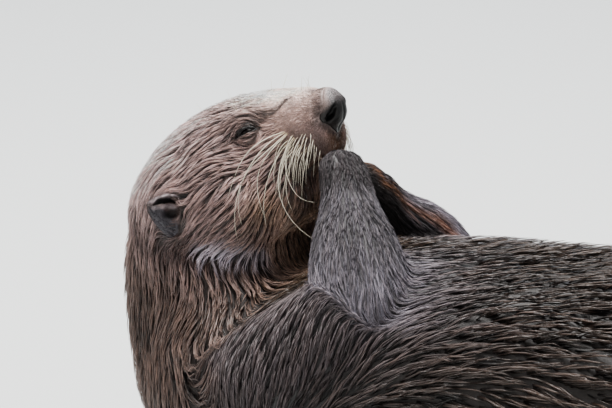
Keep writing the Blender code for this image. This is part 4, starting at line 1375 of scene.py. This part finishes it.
# towards its edge the pad takes the tan of the short fur round it, most of all on top
padHalf = np.interp(inNose[:, 2], padPlan["heights"], padPlan["halves"])
inner = ease(padHalf - np.abs(inNose[:, 1]), 0.0002, 0.0040)
inner = inner * ease(padPlan["heights"][-1] - inNose[:, 2], 0.0004, 0.0040)
edge = (1 - inner) * (0.04 + 0.96 * ease(inNose[:, 2], 0.005, 0.013))
writeVectors(nosePad.data, "hollow", np.stack([nostrilShade, grey, edge], axis=1))

# Wet nose leather: near black, greyer and stippled towards the top, with painted shade in the nostrils and a
# soft shine.
noseLeather = bpy.data.materials.new("noseLeather")
noseLeather.use_nodes = True
noseTree = noseLeather.node_tree
noseShader = noseTree.nodes["Principled BSDF"]
nosePlaces = addNode(noseTree, "TexCoord")
# pebbles are about 0.7 mm across, and the grains on top finer
pebbleCells = addNode(noseTree, "TexVoronoi", {"Vector": nosePlaces.outputs["Object"], "Scale": 1400.0})
grainScale = {"Vector": nosePlaces.outputs["Object"], "Scale": 1500.0, "Detail": 3.0}
stipple = addNode(noseTree, "TexNoise", grainScale)
noseMarks = addNode(noseTree, "Attribute", attribute_name="hollow")
noseParts = addNode(noseTree, "SeparateXYZ", {"Vector": noseMarks.outputs["Vector"]})
grains = addNode(noseTree, "MapRange", {"Value": stipple.outputs["Fac"], "From Min": 0.42, "From Max": 0.62})
topGrains = addNode(noseTree, "Math", {0: noseParts.outputs["Y"], 1: grains.outputs[0]}, operation="MULTIPLY")
noseRamp = addNode(noseTree, "ValToRGB", {"Fac": topGrains.outputs[0]})
noseRamp.color_ramp.elements[0].color = (*linear("#0d0c0c"), 1)
noseRamp.color_ramp.elements[1].color = (*linear("#8b8283"), 1)
# painted shade darkens the nostrils
leatherTone = addNode(noseTree, "MapRange", {"Value": noseParts.outputs["X"], "To Min": 1.0, "To Max": 0.08})
# the tan of the edge is mixed in by the same grains
edgeTone = addNode(noseTree, "MapRange", {"Value": stipple.outputs["Fac"], "From Min": 0.35, "From Max": 0.6})
edgeTone.inputs["To Min"].default_value = 0.45
edgeTone.inputs["To Max"].default_value = 0.95
edgeParts = {0: noseParts.outputs["Z"], 1: edgeTone.outputs[0]}
edgeShare = addNode(noseTree, "Math", edgeParts, operation="MULTIPLY")
toTan = {0: linear("#94807a"), 1: noseRamp.outputs["Color"]}
furEdge = addNode(noseTree, "VectorMath", toTan, operation="SUBTRACT")
blend = {0: furEdge.outputs["Vector"], 1: edgeShare.outputs[0], 2: noseRamp.outputs["Color"]}
blended = addNode(noseTree, "VectorMath", blend, operation="MULTIPLY_ADD")
darkened = {"Vector": blended.outputs["Vector"], "Scale": leatherTone.outputs[0]}
leather = addNode(noseTree, "VectorMath", darkened, operation="SCALE")
noseTree.links.new(leather.outputs["Vector"], noseShader.inputs["Base Color"])
noseRelief = {"Height": pebbleCells.outputs["Distance"], "Strength": 0.45, "Distance": 0.0003}
noseBump = addNode(noseTree, "Bump", noseRelief)
noseTree.links.new(noseBump.outputs["Normal"], noseShader.inputs["Normal"])
noseShader.inputs["Roughness"].default_value = 0.46
noseShader.inputs["Specular IOR Level"].default_value = 0.35
nosePad.data.materials.append(noseLeather)
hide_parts("nose")
# the skin under the pad gives way, so that it stays out of the nostrils
underPad = ease(padShare(toHead(skinPlaces)), 0.6, 1.0)
underPad = underPad * ease(toHead(skinPlaces)[:, 0], 0.104, 0.107)
setPlaces(skin.data, skinPlaces - skinNormals * (nosePlan["underDeep"] * underPad)[:, None])
print("nose made")


# Directions of a whisker are shares ahead, outwards and straight down.
whiskerPlan = {
    "rows": 5,
    "columns": 7,
    "frontRoot": (0.0985, -0.0030),  # ahead and up, in the head
    "backRoot": (0.0850, 0.0045),
    "rowStep": (-0.0003, -0.0030),
    "shortest": 0.014,
    "longest": 0.044,
    "start": ((0.05, 0.70, 0.74), (-0.36, 0.83, 0.28)),  # at the front and at the back of a row
    "middle": ((0.06, 0.36, 0.96), (-0.25, 0.49, 0.72)),
    "end": ((0.19, 0.21, 1.07), (0.19, 0.21, 1.07)),
    "thick": 0.00027,
    "sides": 5,
    "bends": 14,
    # single long ones that stand out: root ahead and up, length, and four directions
    "long": [
        (0.0842, 0.0070, 0.065, [
            (-0.63, 0.84, -0.23), (-0.71, 0.61, 0.14), (-0.24, 0.39, 0.76), (-0.15, 0.36, 0.84),
        ]),
        (0.0845, 0.0064, 0.089, [
            (-0.52, 0.85, 0.01), (-0.40, 0.54, 0.56), (-0.10, 0.34, 0.88), (0.41, 0.09, 1.16),
        ]),
        (0.0855, 0.0056, 0.079, [
            (-0.34, 0.82, 0.31), (-0.63, 0.60, 0.26), (-0.11, 0.34, 0.88), (0.50, 0.04, 1.18),
        ]),
        (0.0857, 0.0047, 0.068, [
            (-0.39, 0.83, 0.24), (-0.43, 0.55, 0.52), (0.22, 0.19, 1.08), (0.58, -0.01, 1.19),
        ]),
        (0.0815, -0.0008, 0.063, [
            (-0.24, 0.80, 0.44), (-0.20, 0.47, 0.76), (0.04, 0.28, 0.98), (0.43, 0.08, 1.16),
        ]),
        (0.0888, 0.0008, 0.090, [
            (-0.22, 0.79, 0.46), (0.11, 0.34, 0.99), (0.70, -0.09, 1.19), (1.01, -0.37, 0.93),
        ]),
        (0.0871, 0.0002, 0.058, [
            (-0.18, 0.78, 0.51), (0.27, 0.26, 1.09), (0.65, -0.05, 1.19), (1.03, -0.51, 0.52),
        ]),
        (0.0845, -0.0016, 0.049, [
            (0.08, 0.69, 0.76), (0.16, 0.32, 1.02), (0.18, 0.21, 1.07), (0.61, -0.03, 1.19),
        ]),
    ],
    # fine bristles over the eyes and on the bridge: root ahead, out and up, length, direction
    "brow": [
        ((0.0640, 0.0260, 0.0360), 0.016, (0.10, 0.60, -1.00)),
        ((0.0610, 0.0290, 0.0350), 0.020, (-0.20, 0.80, -0.90)),
        ((0.0580, 0.0240, 0.0380), 0.013, (-0.30, 0.30, -1.10)),
        ((0.0980, 0.0040, 0.0270), 0.010, (0.10, 0.10, -1.00)),
        ((0.1010, 0.0010, 0.0250), 0.011, (-0.45, 0.10, -1.00)),
        ((0.0300, 0.0180, 0.0450), 0.011, (-0.60, 0.20, -0.90)),
    ],
}


def tubes(name, paths, radii, sides, material):
    # one joined mesh of closed tapering hairs
    count, rings = paths.shape[0], paths.shape[1] - 1
    forward = unit(np.gradient(paths, axis=1))
    helper = np.where(np.abs(forward[:, :, 2:3]) > 0.9, np.array([1.0, 0, 0]), np.array([0, 0, 1.0]))
    one = unit(np.cross(forward, helper))
    two = np.cross(forward, one)
    turn = np.arange(sides) * 2 * math.pi / sides
    ring = one[:, :, None] * np.cos(turn)[:, None] + two[:, :, None] * np.sin(turn)[:, None]
    tube = paths[:, :, None] + ring * radii[:, :, None, None]
    points = np.concatenate([tube[:, :-1].reshape(count, rings * sides, 3), paths[:, -1:]], axis=1)
    each = rings * sides + 1
    faces = [tuple(range(sides - 1, -1, -1))]
    for r in range(rings - 1):
        for a in range(sides):
            b = (a + 1) % sides
            faces.append((r * sides + a, r * sides + b, (r + 1) * sides + b, (r + 1) * sides + a))
    last = (rings - 1) * sides
    faces += [(last + a, last + (a + 1) % sides, each - 1) for a in range(sides)]
    mesh = bpy.data.meshes.new(name)
    allFaces = [tuple(i + n * each for i in face) for n in range(count) for face in faces]
    mesh.from_pydata(points.reshape(-1, 3).tolist(), [], allFaces)
    along = np.concatenate([np.repeat(np.linspace(0, 1, rings + 1)[:-1], sides), [1.0]])
    writeVectors(mesh, "alongHair", np.repeat(np.tile(along, count)[:, None], 3, axis=1))
    made = bpy.data.objects.new(name, mesh)
    bpy.context.scene.collection.objects.link(made)
    pick(made)
    bpy.ops.object.mode_set(mode="EDIT")
    bpy.ops.mesh.select_all(action="SELECT")
    bpy.ops.mesh.normals_make_consistent(inside=False)
    bpy.ops.object.mode_set(mode="OBJECT")
    bpy.ops.object.shade_smooth()
    made.data.materials.append(material)
    return made


# Whisker horn: stiff cream-coloured hair, yellower at the root, and glossy.
whiskerHorn = bpy.data.materials.new("whiskerHorn")
whiskerHorn.use_nodes = True
hornTree = whiskerHorn.node_tree
hornShader = hornTree.nodes["Principled BSDF"]
hornAlong = addNode(hornTree, "Attribute", attribute_name="alongHair")
hornRamp = addNode(hornTree, "ValToRGB", {"Fac": hornAlong.outputs["Fac"]})
hornRamp.color_ramp.elements[0].color = (*linear("#a89272"), 1)
hornRamp.color_ramp.elements[1].position = 0.18
hornRamp.color_ramp.elements[1].color = (*linear("#efe6d2"), 1)
hornTree.links.new(hornRamp.outputs["Color"], hornShader.inputs["Base Color"])
hornShader.inputs["Roughness"].default_value = 0.35


def turned(shares, side):
    # shares ahead, outwards and down as a direction in space
    axes = np.stack([headAxes[:, 0], headAxes[:, 1] * side, down])
    return unit(np.asarray(shares, float) @ axes)


def onFace(ahead, side, up):
    # the place on the muzzle's side that lies ahead and up by so much
    origin = fromHead([ahead + 0.012, side * 0.060, up])
    aim = fromHead([ahead - 0.004, side * 0.010, up])
    return skinTree.ray_cast(Vector(origin), Vector(unit(aim - origin)))[0]


def bristles(roots, headings, lengths, thick, bends):
    # stiff hairs that follow four headings in turn, kept off the skin
    knots = np.linspace(0, 1, headings.shape[1])
    path = [roots - headings[:, 0] * 0.001]
    for step in range(bends):
        s = step / (bends - 1)
        at = min(int(s * (len(knots) - 1)), len(knots) - 2)
        part = s * (len(knots) - 1) - at
        heading = unit(headings[:, at] * (1 - part) + headings[:, at + 1] * part)
        place = path[-1] + heading * (lengths / bends)[:, None]
        near, faces = nearestOnSkin(place)
        off = np.sum((place - near) * faceNormal[faces], axis=1)
        clear = 0.0022 * min(1.0, 0.4 + step * 0.3)
        lift = np.clip(clear - off, 0, 0.012) * (np.linalg.norm(place - near, axis=1) < 0.012)
        path.append(place + faceNormal[faces] * lift[:, None])
    path = np.stack(path, axis=1)
    path[:, 1:-1] = path[:, 1:-1] * 0.5 + (path[:, :-2] + path[:, 2:]) * 0.25
    s = np.linspace(0, 1, bends + 1)[None, :]
    return path, thick[:, None] * (1 - 0.82 * s**1.3)


def whiskersFor(side, plan, rng):
    roots, headings, lengths, thick = [], [], [], []
    front, back = np.array(plan["frontRoot"]), np.array(plan["backRoot"])
    for row in range(plan["rows"]):
        for column in range(plan["columns"]):
            t = column / (plan["columns"] - 1)
            x, z = front + (back - front) * t + np.array(plan["rowStep"]) * row + rng.normal(0, 0.0006, 2)
            root = onFace(x, side, z)
            if root is None:
                continue
            between = [np.array(plan[name]) for name in ("start", "middle", "end")]
            first, middle, last = (ends[0] * (1 - t) + ends[1] * t for ends in between)
            stray = rng.normal(0, 0.11, 3)
            curl = np.array([rng.normal(0.02, 0.24), 0, 0])
            ways = [first + stray, middle + stray * 0.8, middle * 0.4 + last * 0.6 + curl * 0.5, last + curl]
            share = t**0.6 * (1 - 0.08 * abs(row - 2)) * rng.uniform(0.4, 1.1)
            roots.append(np.array(root))
            headings.append(turned(ways, side))
            base = plan["shortest"] * rng.uniform(0.8, 1.5)
            lengths.append(base + (plan["longest"] - plan["shortest"]) * share)
            thick.append(plan["thick"] * rng.uniform(0.7, 1.1) * (0.75 + 0.3 * t))
    for x, z, length, ways in plan["long"]:
        if side > 0:
            x, z = x + rng.normal(0, 0.0008), z + rng.normal(0, 0.0010)
            ways = np.array(ways) + rng.normal(0, 0.10, 3)
        root = onFace(x, side, z)
        if root is None:
            continue
        roots.append(np.array(root))
        headings.append(turned(ways, side))
        lengths.append(length)
        thick.append(plan["thick"] * 1.15)
    for (x, y, z), length, way in plan["brow"]:
        place, _ = nearestOnSkin(np.array([fromHead([x, side * y, z])]))
        roots.append(place[0])
        headings.append(turned([way] * 4, side))
        lengths.append(length)
        thick.append(plan["thick"] * 0.55)
    hairs = [np.array(values) for values in (roots, headings, lengths, thick)]
    return bristles(*hairs, plan["bends"])


# Claws: short dark horn, worn paler at the tip, five on each paw and on each webbed hind foot.
clawPlan = {
    "foot": {"ankle": (0.28393, 0.112, 0.132), "aim": (0.70, 0.30, 0.62), "outward": (-0.30, 0.94, 0.10)},
    "footLength": 0.205,
    "footWidth": 0.112,
    "footClaw": (0.0130, 0.0019),  # length and thickness
    "paws": {
        -1: ((-0.36557, 0.0265, 0.2455), (-0.37757, 0.0145, 0.2650)),  # wrist and tip
        1: ((-0.36907, 0.0300, 0.2220), (-0.38257, 0.0150, 0.2495)),
    },
    "pawClaw": (0.0062, 0.0011),
    "middleLine": 0.000118,  # where the animal's middle lies
    "bends": 6,
}


def clawPaths(tips, headings, droops, length, bends):
    # claws that start inside the toes and curve down to their points
    path = [tips - headings * length * 0.3]
    for step in range(bends):
        bent = unit(headings + droops * (0.9 * step / bends))
        path.append(path[-1] + bent * length * 1.3 / bends)
    return np.stack(path, axis=1)


def clawsOf(side, plan):
    # tips, headings and droops of the claws of one hind foot and one paw
    flip = np.array([1, side, 1])
    middle = np.array([0, plan["middleLine"], 0])
    along = unit(np.array(plan["foot"]["aim"]) * flip)
    outward = np.array(plan["foot"]["outward"]) * flip
    outward = unit(outward - along * (outward @ along))
    back = np.cross(along, outward) * side
    heel = np.array(plan["foot"]["ankle"]) * flip + middle + along * 0.006
    footTips, footWays = [], []
    for fan in np.linspace(-1, 1, 5):
        length = plan["footLength"] * (0.86 + 0.07 * (fan + 1))
        knuckle = heel + outward * fan * plan["footWidth"] * 0.34 + along * length * 0.60 + back * 0.002
        tip = heel + outward * fan * plan["footWidth"] * 0.46 + along * length - back * 0.004
        footWays.append(unit(tip - knuckle))
        footTips.append(tip + footWays[-1] * 0.0025 + back * 0.0016)
    wrist, end = (np.array(place) * flip + middle for place in plan["paws"][side])
    along = unit(end - wrist)
    palm = np.array([-0.80, -0.50 * side, 0])
    palm = unit(palm - along * (palm @ along))
    across = np.cross(along, palm)
    pawTips, pawWays = [], []
    for fan in np.linspace(-1, 1, 5):
        root = wrist + (end - wrist) * 0.5 + across * fan * 0.0110
        tip = end + across * fan * 0.0120 - along * (0.0035 * fan**2) + palm * 0.004
        pawWays.append(unit(tip - root))
        pawTips.append(tip + pawWays[-1] * 0.0015 - palm * 0.0012)
    feet = (np.array(footTips), np.array(footWays), np.tile(-back, (5, 1)))
    paws = (np.array(pawTips), np.array(pawWays), np.tile(palm, (5, 1)))
    return feet, paws


# Claw horn: smooth, dark brown and paler where the tip is worn, with faint growth rings.
clawHorn = bpy.data.materials.new("clawHorn")
clawHorn.use_nodes = True
clawTree = clawHorn.node_tree
clawShader = clawTree.nodes["Principled BSDF"]
clawAlong = addNode(clawTree, "Attribute", attribute_name="alongHair")
clawPlaces = addNode(clawTree, "TexCoord")
# growth rings are about 0.5 mm apart
clawRings = addNode(clawTree, "TexNoise", {"Vector": clawPlaces.outputs["Object"], "Scale": 1800.0})
clawRamp = addNode(clawTree, "ValToRGB", {"Fac": clawAlong.outputs["Fac"]})
clawRamp.color_ramp.elements[0].color = (*linear("#1c1715"), 1)
clawRamp.color_ramp.elements[1].color = (*linear("#5b4e45"), 1)
clawTree.links.new(clawRamp.outputs["Color"], clawShader.inputs["Base Color"])
clawRelief = {"Height": clawRings.outputs["Fac"], "Strength": 0.3, "Distance": 0.0003}
clawBump = addNode(clawTree, "Bump", clawRelief)
clawTree.links.new(clawBump.outputs["Normal"], clawShader.inputs["Normal"])
clawShader.inputs["Roughness"].default_value = 0.32

clawPieces = []
for side, word in ((-1, "Right"), (1, "Left")):
    feet, paws = clawsOf(side, clawPlan)
    for name, parts, size in (("HindFoot", feet, "footClaw"), ("Paw", paws, "pawClaw")):
        length, thick = clawPlan[size]
        path = clawPaths(*parts, length, clawPlan["bends"])
        shape = thick * (1 - np.linspace(0, 1, clawPlan["bends"] + 1) ** 2.2 * 0.95)
        clawPieces.append(tubes("claws" + name + word, path, np.tile(shape, (5, 1)), 8, clawHorn))
print("claws made")

whiskerPieces = []
for side, word in ((-1, "Right"), (1, "Left")):
    rng = np.random.default_rng(300 + side)
    path, radii = whiskersFor(side, whiskerPlan, rng)
    whiskerPieces.append(tubes("whiskers" + word, path, radii, whiskerPlan["sides"], whiskerHorn))
print("whiskers made")

for piece in [skin, nosePad, *furPieces, *eyePieces, *clawPieces, *whiskerPieces]:
    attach(piece, "root")
fleshNodes = [name for name in allNodes if not name.startswith(("eye_", "nose"))]
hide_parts(*fleshNodes)
